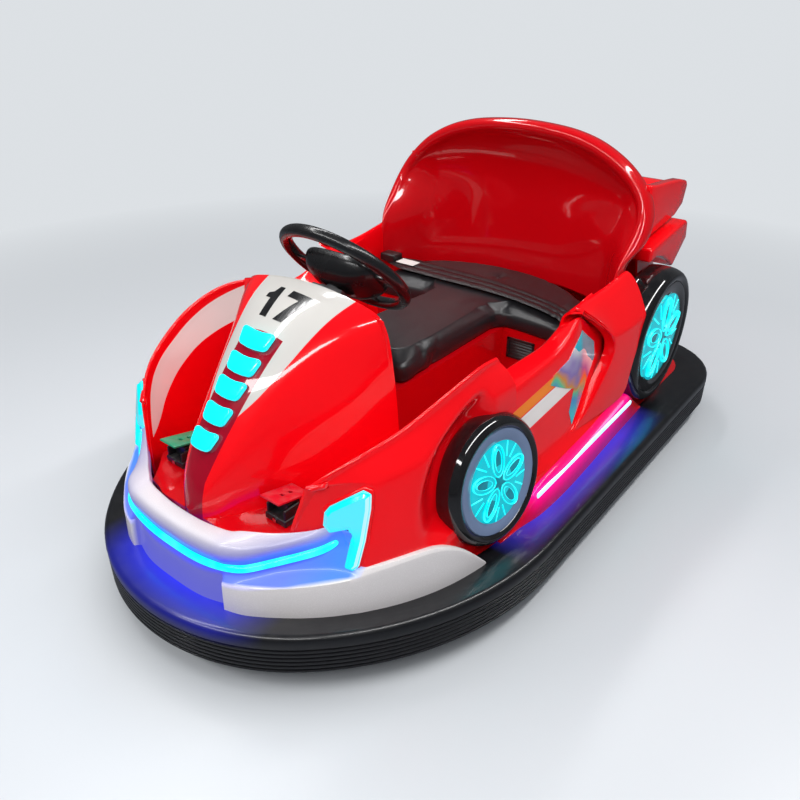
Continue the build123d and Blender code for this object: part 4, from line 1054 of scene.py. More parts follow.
@dataclass
class NoseHood:
    """Central hump between the leg wells, with its dash, race number and spine lights.

    Attributes:
        sections: y, crown z, shoulder x, shoulder z, side x, side z, foot x.
        lamps: y and z of each lamp's middle, and its half widths behind and in front.
    """

    sections: tuple = metres(
        (-440, 680, 214, 648, 236, 520, 240), (-500, 664, 166, 634, 219, 470, 234),
        (-560, 632, 124, 598, 192, 420, 222), (-636, 572, 96, 538, 142, 380, 172),
        (-706, 500, 76, 466, 106, 350, 128), (-766, 432, 60, 402, 82, 310, 98),
        (-806, 366, 42, 338, 54, 280, 66), (-822, 310, 20, 298, 26, 260, 34),
    )
    lamps: tuple = metres(
        (-599, 608, 46, 42), (-640, 566, 43, 39), (-680, 527, 40, 36), (-720, 484, 37, 33),
        (-760, 443, 34, 30),
    )
    wall: float = 0.006
    lamp_length: float = 0.041
    lamp_slope: float = 46.0
    digits: tuple = metres(
        # plan outlines of the race number
        ((-53.6, -475.3), (-38.5, -476.9), (-22.7, -555.9), (-45, -553.5), (-53, -511), (-70, -508.6),
         (-70.4, -497), (-58, -492.5)),
        ((-12, -479), (49, -482.5), (50, -498.5), (24, -556), (-1.5, -556), (23.5, -500.5), (-13, -497.5)),
    )

    def half_row(self, section: tuple) -> list[Point]:
        """Points of one section from the foot up to the crown, on the left side."""
        y, crown, shoulder_x, shoulder_z, side_x, side_z, foot_x = section
        side = arc_points((foot_x, DECK), (side_x, side_z), (shoulder_x, shoulder_z), 7)
        top = arc_points((shoulder_x, shoulder_z), (0.0, crown), (-shoulder_x, shoulder_z), 9)[1:5]
        return [(x, y, z) for x, z in (*side, *top)]

    def rows(self) -> list[list[Point]]:
        """Rows of the whole hump, left foot over the crown to right foot."""
        rows = []
        for section in self.sections:
            half = self.half_row(section)
            rows.append(full_row(half))
        for shrink, push in ((0.45, -0.006), (0.0, -0.007)):
            rows.append([(x * shrink, y + push, min(z, 0.300)) for x, y, z in rows[len(self.sections) - 1]])
        return rows

    def shell(self) -> Piece:
        """The glossy hump with its painted panel."""
        piece = cage("nose_hood_shell", self.rows())
        crease(piece, on_line(self.rows()[0]), 0.9)
        thicken(clean(subdivide(piece, 3)), self.wall)
        soften(piece, 0.0015, 2, 50)
        return hand_over(surface(piece, "hood"), "red_shell", "nose_hood")

    def dash(self) -> Piece:
        """Flat wall that closes the hump behind, under the steering column."""
        inset = 0.004
        outline = [
            (x * 0.985, y - inset, z - (inset if z > DECK + inset else 0.0)) for x, y, z in self.rows()[0]
        ]
        piece = outline_plate("dash_wall", outline, Vector((0.0, -0.004, 0.0)))
        return hand_over(surface(piece, "red"), "red_shell")

    def number(self, shell: Piece) -> Piece:
        """Race number laid on the white panel."""
        plates = []
        for outline in self.digits:
            plate = outline_plate("race_digit", [(x, y, 0.75) for x, y in outline], Vector((0.0, 0.0, 0.001)))
            select_faces(plate, lambda spot, normal: normal.z < 0.5)
            bpy.ops.mesh.delete(type="FACE")
            plates.append(plate)
        piece = cut_fine(join("race_number", plates), (-0.075, -0.565, 0.0), (0.055, -0.470, 0.0), 0.008)
        modify(
            piece, "SHRINKWRAP", target=shell, wrap_method="PROJECT", use_project_z=True,
            use_negative_direction=True, use_positive_direction=False, offset=0.0007,
        )
        thicken(piece, 0.0005)
        dress(piece, paint("number"))
        return hand_over(piece, "gloss_black")

    def pad_outline(self, wide: float, narrow: float, length: float) -> list[tuple[float, float]]:
        """Rounded tile whose front and back edges bow forwards."""
        corner, steps = 0.011, 5
        bow = 0.006
        points = []
        corners = ((1, 1, 0), (-1, 1, 90), (-1, -1, 180), (1, -1, 270))
        for sx, sy, first in corners:
            half = wide if sy > 0 else narrow
            for step in range(steps):
                angle = radians(first + 90 * step / (steps - 1))
                x = sx * (half - corner) + corner * cos(angle)
                y = sy * (length / 2 - corner) + corner * sin(angle)
                points.append((x, y))
            if sx * sy > 0:
                points.append((sx * half * 0.25, sy * length / 2))
                points.append((-sx * half * 0.25, sy * length / 2))
        return [(x, y - bow * (1 - (x / wide) ** 2)) for x, y in points]

    def spine(self) -> Piece:
        """Five pillowy lamps down the middle of the hump."""
        pads = []
        for number, (y, z, wide, narrow) in enumerate(self.lamps):
            outline = [(x, v, 0.0) for x, v in self.pad_outline(wide, narrow, self.lamp_length)]
            pad = outline_plate(f"spine_lamp_{number}", outline, Vector((0.0, 0.0, 0.012)))
            soften(pad, 0.0045, 4, 50)
            pad.data.transform(leaning((0.0, y, z), self.lamp_slope))
            pad.data.transform(Matrix.Translation((0.0, 0.0, -0.006)))
            pads.append(pad)
        piece = join("spine_lamps", pads)
        return hand_over(surface(piece, "cyan", angle=60), "cyan_lamp", "spine_lights")

    def build(self) -> None:
        """Model and dress the whole hood."""
        shell = self.shell()
        self.dash()
        self.number(shell)
        self.spine()


# ------------------------------------------------------------------ front wings and lamps


@dataclass
class FrontWing:
    """Front wing with its crescent, rolled ridge and seven-shaped lamp.

    Attributes:
        lamp: Outline of the lamp's outer face.
        lamp_back: Where the lamp's back lies, as a direction.
        corner: Small pearl facet in the lamp's inner corner.
        rimmed: Numbers of the outline's points that the red rim stands out from.
        bead: Width of the ridge's roll.
        wheel: y and z of the moulded wheel's middle.
        room: Reach from the wheel with full room, reach with none, and how far in the side goes.
    """

    stations: tuple = metres(
        # x, y, z of the inner foot, wall, ridge, slope, shoulder, side and low side
        ((236, -757, 156), (224, -766, 302), (256, -738, 414), (312, -697, 433), (366, -655, 430),
         (370, -672, 350), (372, -704, 262)),
        ((248, -703, 156), (262, -703, 330), (292, -703, 450), (338, -668, 450), (377, -636, 438),
         (386, -652, 350), (392, -676, 262)),
        ((266, -656, 156), (296, -656, 350), (327, -656, 478), (362, -630, 466), (394, -606, 446),
         (408, -618, 350), (416, -636, 264)),
        ((292, -582, 156), (326, -582, 370), (362, -582, 506), (390, -566, 482), (414, -552, 455),
         (434, -560, 350), (446, -572, 266)),
        ((314, -512, 156), (345, -512, 385), (380, -512, 536), (402, -500, 500), (420, -488, 466),
         (440, -500, 350), (452, -510, 266)),
        ((330, -428, 156), (358, -428, 395), (391, -428, 558), (409, -422, 520), (421, -416, 482),
         (430, -420, 350), (440, -420, 266)),
        ((338, -350, 156), (362, -350, 400), (389, -350, 566), (410, -345, 532), (428, -340, 497),
         (432, -340, 350), (440, -340, 266)),
        ((343, -287, 156), (360, -287, 400), (384, -287, 556), (410, -270, 528), (431, -268, 497),
         (436, -268, 380), (446, -268, 266)),
    )
    lamp: tuple = metres(
        (303.5, -725.1, 383.1), (355.6, -686.3, 421.9), (370, -679, 415), (373.1, -685.2, 385.6),
        (371.9, -701.8, 319.1), (367.3, -717.4, 265.1), (358.4, -725.4, 253), (342, -732.6, 258),
        (346.9, -714.7, 324.2), (340.1, -714.8, 340.1), (309.2, -735, 328.7), (296, -738, 343),
        (296.5, -733, 370),
    )
    lamp_back: Point = (-0.481, 0.852, -0.205)
    corner: tuple = metres((345, -720.5, 308), (351, -713, 334), (329, -721.5, 339))
    rimmed: tuple = (0, 1, 2, 3, 4, 5, 12)
    bead: float = 0.007
    wall: float = 0.006
    wheel: tuple = (-0.371, 0.317)
    room: tuple = (0.152, 0.240, 0.040)

    def make_room(self, piece: Piece) -> None:
        """Draw the side in round the front of the moulded wheel, so that its tread shows."""
        full, none, depth = self.room
        for vertex in piece.data.vertices:
            x, y, z = vertex.co
            reach = sqrt((y - self.wheel[0]) ** 2 + (z - self.wheel[1]) ** 2)
            share = 1.0
            near = (none - reach) / (none - full)
            for ramp in (near, (x - 0.405) / 0.02, (z - 0.255) / 0.04, (-0.34 - y) / 0.06):
                part = min(max(ramp, 0.0), 1.0)
                share *= part * part * (3 - 2 * part)
            vertex.co.x = x - depth * share

    def row(self, station: tuple) -> list[Point]:
        """All points across one station, with the ridge split into a rolled bead."""
        foot, wall, ridge, slope, shoulder, side, low = (Vector(place) for place in station)
        under = ridge.lerp(wall, 0.12)
        crest_in = ridge + Vector((-self.bead * 0.5, 0.0, self.bead * 0.35))
        crest_out = ridge + Vector((self.bead * 1.3, 0.0, self.bead * 0.2))
        beyond = ridge.lerp(slope, 0.30) + Vector((0.0, 0.0, -0.002))
        ground = Vector((low.x + 0.004, low.y, DECK))
        chain = (
            foot, foot.lerp(wall, 0.5), wall, wall.lerp(ridge, 0.5), under, crest_in, crest_out, beyond,
            slope, shoulder, side.lerp(shoulder, 0.45), side, low, ground,
        )
        return [tuple(place) for place in chain]

    def front_face(self, first: list[Point]) -> Piece:
        """Flat face in front, between the inner edge and the fold beside the lamp."""
        pairs = ((0, 13), (1, 12), (2, 11), (3, 10), (4, 9), (5, 8), (6, 7))
        rows = [[blend(first[a], first[b], share) for share in (0.0, 0.33, 0.67, 1.0)] for a, b in pairs]
        return cage("wing_front", rows)

    def shell(self) -> Piece:
        """Red shell of the left wing."""
        rows = [self.row(station) for station in self.stations]
        main = cage("wing_main", rows)
        piece = join("front_wing_left", [main, self.front_face(rows[0])])
        clean(piece)
        crease(piece, on_line(rows[0]), 0.75)
        crease(piece, on_line(column(rows, 9)), 0.35)
        crease(piece, on_line(rows[-1]), 1.0)
        subdivide(piece, 3)
        self.make_room(piece)
        thicken(piece, self.wall, even=False)
        surface(piece, "red", "wing")
        return paint_faces(piece, 1, lambda spot, normal: normal.x < -0.45 and spot.y < -0.2)

    def lamp_body(self) -> Piece:
        """Lit cover of the lamp, standing proud of the front face, with a wide bevel round its face."""
        inwards = Vector(self.lamp_back).normalized()
        sunk = [tuple(Vector(place) + inwards * 0.007) for place in self.lamp]
        piece = outline_plate("wing_lamp_left", sunk, inwards * 0.022)
        soften(piece, 0.004, 3, 60)
        select_faces(piece, lambda spot, normal: normal.dot(inwards) < -0.99)
        bpy.ops.mesh.inset(thickness=0.0055, depth=0.007)
        close_edit()
        soften(piece, 0.0012, 2, 20)
        return surface(piece, "seven", angle=30)

    def bezel(self) -> Piece:
        """Red rim round the lamp, a little larger and set back."""
        inwards = Vector(self.lamp_back).normalized()
        middle = sum((Vector(place) for place in self.lamp), Vector()) / len(self.lamp)
        outline = []
        for number, place in enumerate(self.lamp):
            away = Vector(place) - middle
            reach = 0.0065 if number in self.rimmed else -0.003
            outline.append(tuple(Vector(place) + away.normalized() * reach + inwards * 0.013))
        piece = outline_plate("lamp_bezel_left", outline, inwards * 0.014)
        soften(piece, 0.003, 3, 40)
        surface(piece, "red", angle=50)
        corner = [Vector(place) + inwards * 0.009 for place in self.corner]
        facet = outline_plate("lamp_corner", corner, inwards * 0.005)
        return join("lamp_bezel_left", [piece, dress(facet, paint("pearl"))])

    def build(self) -> None:
        """Model both wings with their lamps."""
        hand_over_pair(self.shell(), "red_shell", "front_pod")
        hand_over_pair(self.lamp_body(), "cyan_lamp", "headlight")
        hand_over_pair(self.bezel(), "red_shell")


# ------------------------------------------------------------------ sides


@dataclass
class SideBody:
    """Sill, door and rear quarter on each side, with the scoop, skirt and light bar."""

    sill: tuple = metres(
        # y, inner x, inner z, fold x, fold z, door x, door z, low x, low z, foot x
        (-300, 344, 478, 428, 486, 436, 420, 452, 300, 464),
        (-200, 345, 480, 429, 491, 438, 425, 454, 300, 490),
        (-100, 347, 479, 430, 499, 440, 430, 456, 300, 490),
        (-36, 350, 479, 430, 507, 441, 435, 457, 300, 490),
        (0, 353, 487, 430, 541, 441, 445, 456, 302, 490),
        (26, 360, 506, 430, 566, 440, 450, 454, 304, 490),
        (70, 370, 540, 424, 535, 436, 445, 448, 306, 490),
        (120, 374, 560, 424, 500, 436, 430, 444, 306, 490),
        (175, 378, 570, 424, 480, 434, 420, 440, 306, 490),
    )
    upper: tuple = metres(
        # rows of the quarter above its fold, each from the scoop back to the wheel
        ((366, 40, 440), (376, 95, 440), (381, 160, 440), (386, 235, 440), (392, 300, 440)),
        ((367, 40, 546), (377, 95, 580), (382, 160, 592), (387, 235, 602), (393, 310, 616)),
        ((398, 33, 560), (413, 95, 556), (426, 160, 540), (434, 240, 545), (436, 345, 560)),
        ((430, 26, 572), (450, 94, 523), (470, 157, 470), (479, 240, 472), (483, 322, 480)),
    )
    lower: tuple = metres(
        # rows of the quarter below its fold, from the scoop's frame back to the wheel
        ((474, 168, 425), (482, 232, 425), (486, 296, 420)),
        ((470, 103, 355), (481, 184, 360), (487, 270, 366)),
        ((470, 33, 300), (480, 130, 305), (487, 254, 312)),
        ((467, -30, 276), (478, 100, 270), (487, 250, 266)),
    )
    skirt: tuple = metres(
        # y, foot x, top z
        (-370, 482, 161), (-320, 485, 167), (-280, 490, 186), (-240, 500, 231), (-180, 504, 251),
        (-80, 505, 254), (60, 499, 258), (200, 492, 263), (285, 489, 262), (345, 487, 215), (410, 484, 164),
    )
    foil: tuple = metres(
        # y, z of the shiny insert's outline
        (-102, 455), (-30, 468), (0, 492), (36, 520), (118, 462), (120, 420), (54, 352), (-18, 292),
        (-30, 330), (-6, 384), (-50, 402), (-118, 436),
    )
    frame_depth: float = 0.030
    wall: float = 0.006

    def sill_shell(self) -> Piece:
        """Sill and door in one sheet, painted with the stripes."""
        rows = []
        for y, ix, iz, fx, fz, dx, dz, lx, lz, foot in self.sill:
            rows.append([
                (ix, y, DECK), (ix, y, 0.32), (ix, y, iz - 0.012), (ix + 0.006, y, iz),
                ((ix + fx) / 2, y, (iz + fz) / 2), (fx - 0.008, y, fz), (fx, y, fz - 0.008), (dx, y, dz),
                ((dx + lx) / 2, y, (dz + lz) / 2), (lx, y, lz), (lx + 0.006, y, 0.276),
                (foot - 0.008, y, 0.258), (foot, y, 0.246), (foot, y, DECK),
            ])
        piece = clean(subdivide(cage("side_door_left", rows), 3))
        return surface(thicken(piece, self.wall), "door")

    def quarter(self) -> Piece:
        """Rear quarter with the deep frame round the scoop."""
        fold = self.upper[-1]
        patches = [
            cage("quarter_upper", self.upper),
            cage("quarter_lower", (fold[2:], *self.lower)),
        ]
        rim = [*fold[:3], *(row[0] for row in self.lower)]
        steps = ((0.0, 0.0), (-0.006, 0.35), (-0.018, 0.6), (-self.frame_depth, 0.7))
        flange = []
        for place in rim:
            flange.append([
                (place[0] + dx, place[1] + 0.004 * pull, place[2] - 0.004 * pull) for dx, pull in steps
            ])
        patches.append(cage("quarter_flange", flange))
        piece = join("rear_quarter_left", patches)
        clean(piece)
        crease(piece, on_line(rim), 0.6)
        crease(piece, on_line(fold[2:]), 0.7)
        subdivide(piece, 3)
        thicken(piece, self.wall, even=False)
        filler = block("bench_side", (0.363, 0.245, 0.298), (0.058, 0.138, 0.284))
        piece = join("rear_quarter_left", [piece, filler])
        return surface(piece, "red")

    def skirt_rail(self) -> Piece:
        """Lower skirt that carries the light bar."""
        rows = []
        for y, foot, top in self.skirt:
            rise = top - DECK
            rows.append([
                (foot - 0.050, y, DECK + rise * 0.9), (foot - 0.030, y, DECK + rise),
                (foot - 0.014, y, DECK + rise), (foot - 0.006, y, DECK + rise * 0.92),
                (foot - 0.004, y, DECK + rise * 0.7), (foot - 0.002, y, DECK + rise * 0.4),
                (foot, y, DECK + 0.004), (foot, y, DECK),
            ])
        piece = clean(subdivide(cage("side_skirt_left", rows), 3))
        return surface(thicken(piece, self.wall), "skirt")

    def light_bar(self) -> Piece:
        """Lit bar along the skirt."""
        bar = rod("side_bar_left", (0.5015, -0.246, 0.2225), (0.4930, 0.281, 0.2345), 0.0075, 24)
        for vertex in bar.data.vertices:
            vertex.co.x = 0.497 + (vertex.co.x - 0.497) * 0.42
        soften(bar, 0.004, 3, 60)
        return surface(bar, "side_strip", angle=60)

    def foil_insert(self, door: Piece) -> Piece:
        """Shiny insert that lines the scoop."""
        outline = [(0.50, y, z) for y, z in self.foil]
        piece = outline_plate("scoop_foil_left", outline, Vector((0.001, 0.0, 0.0)))
        select_faces(piece, lambda spot, normal: normal.x > -0.5)
        bpy.ops.mesh.delete(type="FACE")
        cut_fine(piece, (0.0, -0.125, 0.285), (0.0, 0.130, 0.525), 0.012)
        modify(
            piece, "SHRINKWRAP", target=door, wrap_method="PROJECT", use_project_x=True,
            use_negative_direction=True, use_positive_direction=False, offset=0.0012,
        )
        thicken(piece, 0.0008, 1.0)
        return surface(piece, "foil", angle=60)

    def build(self) -> None:
        """Model both sides; the pair of inserts and the pair of bars are one piece each."""
        door = self.sill_shell()
        foil = self.foil_insert(door)
        for piece, *nodes in ((door, "side_wall"), (self.quarter(),), (self.skirt_rail(),)):
            hand_over_pair(piece, "red_shell", *nodes)
        bar = self.light_bar()
        for name, piece, slot, node in (
            ("scoop_foils", foil, "pearl_insert", "scoop_inserts"),
            ("side_bars", bar, "violet_lamp", "side_lights"),
        ):
            hand_over(join(name, [piece, mirrored(piece, f"{name}_twin")]), slot, node)


# ------------------------------------------------------------------ front lip


@dataclass
class FrontLip:
    """Pearl-white lip round the nose, with its lit groove and the side skirts that end it.

    Attributes:
        stations: Deck line x and y, then inset and height of the wall's top, the ledge, the strip's
            lower side, the groove, the strip's upper side, the roll's face, crown and inner edge.
        strip: Middle line of the lit strip.
    """

    stations: tuple = metres(
        (0, -892, 5, 200, 8, 222, 13, 229, 24, 239, 16, 254, 10, 284, 18, 304, 56, 299),
        (50, -892, 5, 200, 8, 222, 13, 229, 24, 239, 16, 254, 10, 284, 18, 304, 56, 300),
        (100, -887, 5, 202, 8, 224, 12, 232, 22, 242, 15, 256, 9, 286, 16, 307, 56, 303),
        (143, -872, 4, 206, 4, 226, 3, 236, 11, 246.5, 4, 260, -2, 288, 4, 308, 46, 308),
        (154, -884, 3, 222, 12, 234, 14, 243, 23, 252.5, 17, 265, 13, 290, 21, 310, 66, 311),
        (193, -873, 3, 227.5, 18, 235.5, 19, 247, 28, 257, 24, 270, 19, 292, 27, 309.5, 71.5, 312.5),
        (219, -857, 3, 227.5, 25, 237.5, 26, 249, 36, 259, 33, 272, 27, 292, 34, 307.5, 70, 312.5),
        (245, -840, 3, 228.5, 33, 241.5, 36, 252, 46, 262, 44, 275, 38, 292, 45, 305, 71, 310.5),
        (290, -807, 3, 234, 45, 243.5, 45, 260, 55, 271.5, 55, 285, 49, 300, 55, 311, 68, 316.5),
        (330, -770, 3, 238, 44, 248, 38, 276, 48, 290, 50, 303, 48, 315, 52, 324, 59, 330),
        (346, -752, 3, 240, 40, 250, 36, 292, 42, 307, 45, 318, 46, 327, 50, 336, 56, 344),
        (366, -729, 3, 243.5, 22, 253, 26, 280, 34, 303, 37, 316, 38.5, 327, 40, 337, 42, 346),
        (372, -723, 3, 245, 12, 255, 28, 256, 40, 255, 45, 254, 50, 253, 55, 252, 60, 250),
        (380, -712, 3, 247.5, 10, 258, 18, 259, 26, 258, 31, 257, 36, 256, 46, 254, 56, 252),
        (421, -655, 2, 260.5, 7, 267, 14, 268, 22, 266, 26, 264.5, 30, 263, 38, 260, 46, 256),
        (458, -578, 2, 265, 6, 271.5, 12, 272, 18, 270, 22, 268, 26, 266, 32, 262, 38, 256),
        (478, -515, 1, 235, 4, 239.5, 8, 240, 12, 238, 15, 236, 18, 234, 22, 230, 26, 224),
        (492, -448, 0, 160, 1, 162.5, 3, 163, 5, 162, 6, 161.5, 7, 161, 9, 160, 11, 159),
    )
    strip: tuple = metres(
        (0, -874.5, 237), (50, -874.5, 237.2), (100, -872, 241), (151, -866.2, 251.5), (185, -852.7, 255),
        (203, -831.7, 257.5), (222, -807.3, 260.5), (258, -768.4, 270), (298.5, -739.3, 289),
        (318.5, -722.5, 308.5),
    )
    strip_radius: float = 0.0076
    wall: float = 0.005
    drop: float = 0.014

    def half_rows(self) -> list[list[Point]]:
        """Rows across the lip, from the middle of the nose to the tip of the left skirt."""
        line = [Vector((x, y, 0.0)) for x, y, *_ in self.stations]
        rows = []
        for number, station in enumerate(self.stations):
            before = line[max(number - 1, 0)]
            after = line[min(number + 1, len(line) - 1)]
            if number in (3, 4):
                before, after = line[2], line[5]
            along = (after - before).normalized()
            if number == 0:
                along = Vector((1.0, 0.0, 0.0))
            out = Vector((along.y, -along.x, 0.0))
            row = [(*line[number].xy, DECK)]
            pairs = station[2:]
            for inset, height in zip(pairs[0::2], pairs[1::2]):
                place = line[number] - out * inset
                row.append((place.x if number else 0.0, place.y, height))
            x, y, z = row[-1]
            row.append((x - out.x * 0.004 if number else 0.0, y - out.y * 0.004, z - self.drop))
            rows.append(row)
        return rows

    def shell(self) -> Piece:
        """The whole lip in one sheet, mirrored about the middle."""
        half = self.half_rows()
        rows = [[(-x, y, z) for x, y, z in row] for row in reversed(half[1:])] + half
        piece = cage("front_lip_shell", rows)
        for side in (1, -1):
            turned = [[(side * x, y, z) for x, y, z in row] for row in half]
            crease(piece, on_line(turned[4][:4]), 0.7)
            crease(piece, on_line(turned[3][:4]), 0.7)
            crease(piece, on_line([row[1] for row in turned[4:]]), 0.8)
            crease(piece, on_line([row[2] for row in turned[12:]]), 0.5)
            crease(piece, on_line([row[8] for row in turned[:11]]), 0.5)
        thicken(clean(subdivide(piece, 3)), self.wall)
        return hand_over(surface(piece, "pearl"), "silver_shell", "front_lip")

    def light(self) -> Piece:
        """Lit strip that lies in the groove."""
        line = flipped(self.strip[1:]) + list(self.strip)
        rows = []
        sides = 12
        for number, place in enumerate(line):
            before, after = Vector(line[max(number - 1, 0)]), Vector(line[min(number + 1, len(line) - 1)])
            along = (after - before).normalized()
            level = Vector((along.y, -along.x, 0.0)).normalized()
            over = level.cross(along) * -1.0
            end = number in (0, len(line) - 1)
            radius = self.strip_radius * (0.85 if end else 1.0)
            row = []
            for side in range(sides + 1):
                angle = 2 * pi * side / sides
                spot = Vector(place) + level * (radius * cos(angle)) + over * (radius * 1.1 * sin(angle))
                row.append(tuple(spot))
            rows.append(row)
        for edge, inner in ((0, 1), (-1, -2)):
            away = (Vector(line[edge]) - Vector(line[inner])).normalized() * 0.005
            tip = tuple(Vector(line[edge]) + away)
            rows.insert(0 if edge == 0 else len(rows), [tip] * (sides + 1))
        piece = subdivide(clean(cage("front_strip_light", rows)), 2)
        return hand_over(surface(piece, "strip", angle=60), "cyan_lamp", "front_light_strip")

    def build(self) -> None:
        """Model the lip and its light."""
        self.shell()
        self.light()


# ------------------------------------------------------------------ moulded wheels


@dataclass
class MouldedWheel:
    """Dummy wheel moulded into the body: glossy tyre, rim band and lit hub with five petals.

    Attributes:
        name: Name of the wheel's place.
        centre: Middle of its face, left side.
        normal: Where the face looks, left side.
        radius: Outside of the tyre.
        hub: Outside of the lit hub.
        band: Outside of the rim band.
        depth: How far the tyre goes inwards.
        nodes: Construction nodes of the tyre and of the hub, without their side.
        band_finish: Finish of the rim band.
    """

    name: str
    centre: Point
    normal: Point
    radius: float
    hub: float
    band: float
    depth: float
    nodes: tuple[str, str]
    band_finish: str = "rim"
    petals: int = 5

    def tyre(self, place: Matrix) -> Piece:
        """Tyre with a rounded shoulder and a soft groove by the band."""
        outer, band, deep = self.radius, self.band, self.depth
        profile = (
            (0.0005, -deep), (outer - 0.012, -deep), (outer - 0.002, -deep * 0.86), (outer, -deep * 0.5),
            (outer - 0.002, -deep * 0.24), (outer - 0.010, -0.004), (outer - 0.018, 0.001),
            (band + 0.010, 0.002), (band + 0.003, -0.001), (band, -0.005), (band - 0.004, -0.012),
            (band - 0.004, -deep * 0.9), (0.0005, -deep * 0.9), (0.0005, -deep),
        )
        piece = subdivide(lathe(f"{self.name}_tyre_left", profile, place, 48), 1)
        return surface(piece, "tyre", angle=50)

    def rim_band(self, place: Matrix) -> Piece:
        """Plain band between the tyre and the hub."""
        hub, band = self.hub, self.band
        profile = (
            (hub - 0.004, -0.012), (band - 0.002, -0.012), (band - 0.001, -0.0055), (band - 0.003, -0.0035),
            (hub + 0.003, -0.0035), (hub + 0.001, -0.005), (hub - 0.004, -0.006), (hub - 0.004, -0.012),
        )
        piece = lathe(f"{self.name}_band_left", profile, place, 96)
        return surface(piece, self.band_finish, angle=40)

    def hub_cover(self, place: Matrix) -> Piece:
        """Lit, slightly domed hub with petals, flutes and a star middle; its relief shows as painted light
        and shade, the raised petals and flutes brighter and the hollows dark.
        """
        hub = self.hub
        dome = (
            (0.0005, -0.002), (hub * 0.3, -0.0025), (hub * 0.6, -0.004), (hub * 0.85, -0.006),
            (hub * 0.97, -0.0065), (hub, -0.009), (hub * 0.98, -0.014), (0.0005, -0.014),
        )
        cover = lathe(f"{self.name}_hub_left", dome, Matrix.Identity(4), 96)
        parts = [self.coloured(cover, 0)]
        for loop, (length, width, thick) in enumerate(((0.38, 0.20, 0.030), (0.27, 0.105, 0.024))):
            choose()
            bpy.ops.mesh.primitive_torus_add(
                major_radius=1.0, minor_radius=thick * 1.6, major_segments=40, minor_segments=10
            )
            bead = name_new(f"petal_loop_{loop}")
            bead.data.transform(Matrix.Diagonal((hub * width, hub * length, hub * 0.62, 1.0)))
            bead.data.transform(Matrix.Translation((0.0, hub * 0.53, -0.0035)))
            parts += self.ring_of(bead, 1)
        choose()
        # Dark disc in each petal's loop: painted shade of the hollow.
        bpy.ops.mesh.primitive_circle_add(vertices=40, radius=1.0, fill_type="NGON")
        hollow_shade = name_new("petal_hollow_shade")
        hollow_shade.data.transform(Matrix.Diagonal((hub * 0.10, hub * 0.265, 1.0, 1.0)))
        hollow_shade.data.transform(Matrix.Translation((0.0, hub * 0.53, -0.0031)))
        parts += self.ring_of(hollow_shade, 2)
        start, end = (hub * 0.06, hub * 0.60, -0.0045), (hub * 0.17, hub * 0.93, -0.0075)
        flute = rod("flute", start, end, hub * 0.022, 10)
        between = radians(-180 / self.petals)
        flute.data.transform(Matrix.Rotation(between, 4, "Z"))
        twin = copy_of(flute, "flute_twin", Matrix.Scale(-1.0, 4, Vector((cos(between), sin(between), 0))))
        twin.data.flip_normals()
        parts += self.ring_of(join("flutes", [flute, twin]), 1)
        # The star takes the dark hollow finish too.
        star = []
        for point in range(2 * self.petals):
            angle = pi * point / self.petals + pi / 2
            reach = hub * (0.10 if point % 2 == 0 else 0.24)
            star.append((reach * cos(angle), reach * sin(angle), -0.0035))
        middle = outline_plate("hub_star", star, Vector((0.0, 0.0, 0.0016)))
        parts.append(self.coloured(soften(middle, 0.0006, 2, 30), 2))
        piece = join(f"{self.name}_hub_left", parts)
        piece.data.transform(place)
        return shade(piece, 50)

    def coloured(self, piece: Piece, slot: int) -> Piece:
        """Give a part of the hub all the hub's materials, and its faces one of them: the lit cover at three
        brightnesses, dome, brighter petals as painted highlight, and hollows dark as painted shade.
        """
        return paint_faces(dress(piece, *map(paint, ("hub", "petal", "hollow_shade"))), slot)

    def ring_of(self, pattern: Piece, slot: int) -> list[Piece]:
        """Copies of a pattern round the hub's middle, in one of the hub's materials."""
        self.coloured(pattern, slot)
        copies = []
        for number in range(self.petals):
            turn = Matrix.Rotation(2 * pi * number / self.petals, 4, "Z")
            copies.append(copy_of(pattern, f"{pattern.name}_{number}", turn))
        choose(pattern)
        bpy.ops.object.delete()
        return copies

    def build(self) -> None:
        """Model the wheel on both sides."""
        place = facing(self.centre, self.normal)
        tyre_node, hub_node = self.nodes
        for piece, slot, *nodes in (
            (self.tyre(place), "gloss_black", tyre_node), (self.rim_band(place), "gloss_black"),
            (self.hub_cover(place), "cyan_lamp", hub_node),
        ):
            hand_over_pair(piece, slot, *nodes)


# ------------------------------------------------------------------ seat


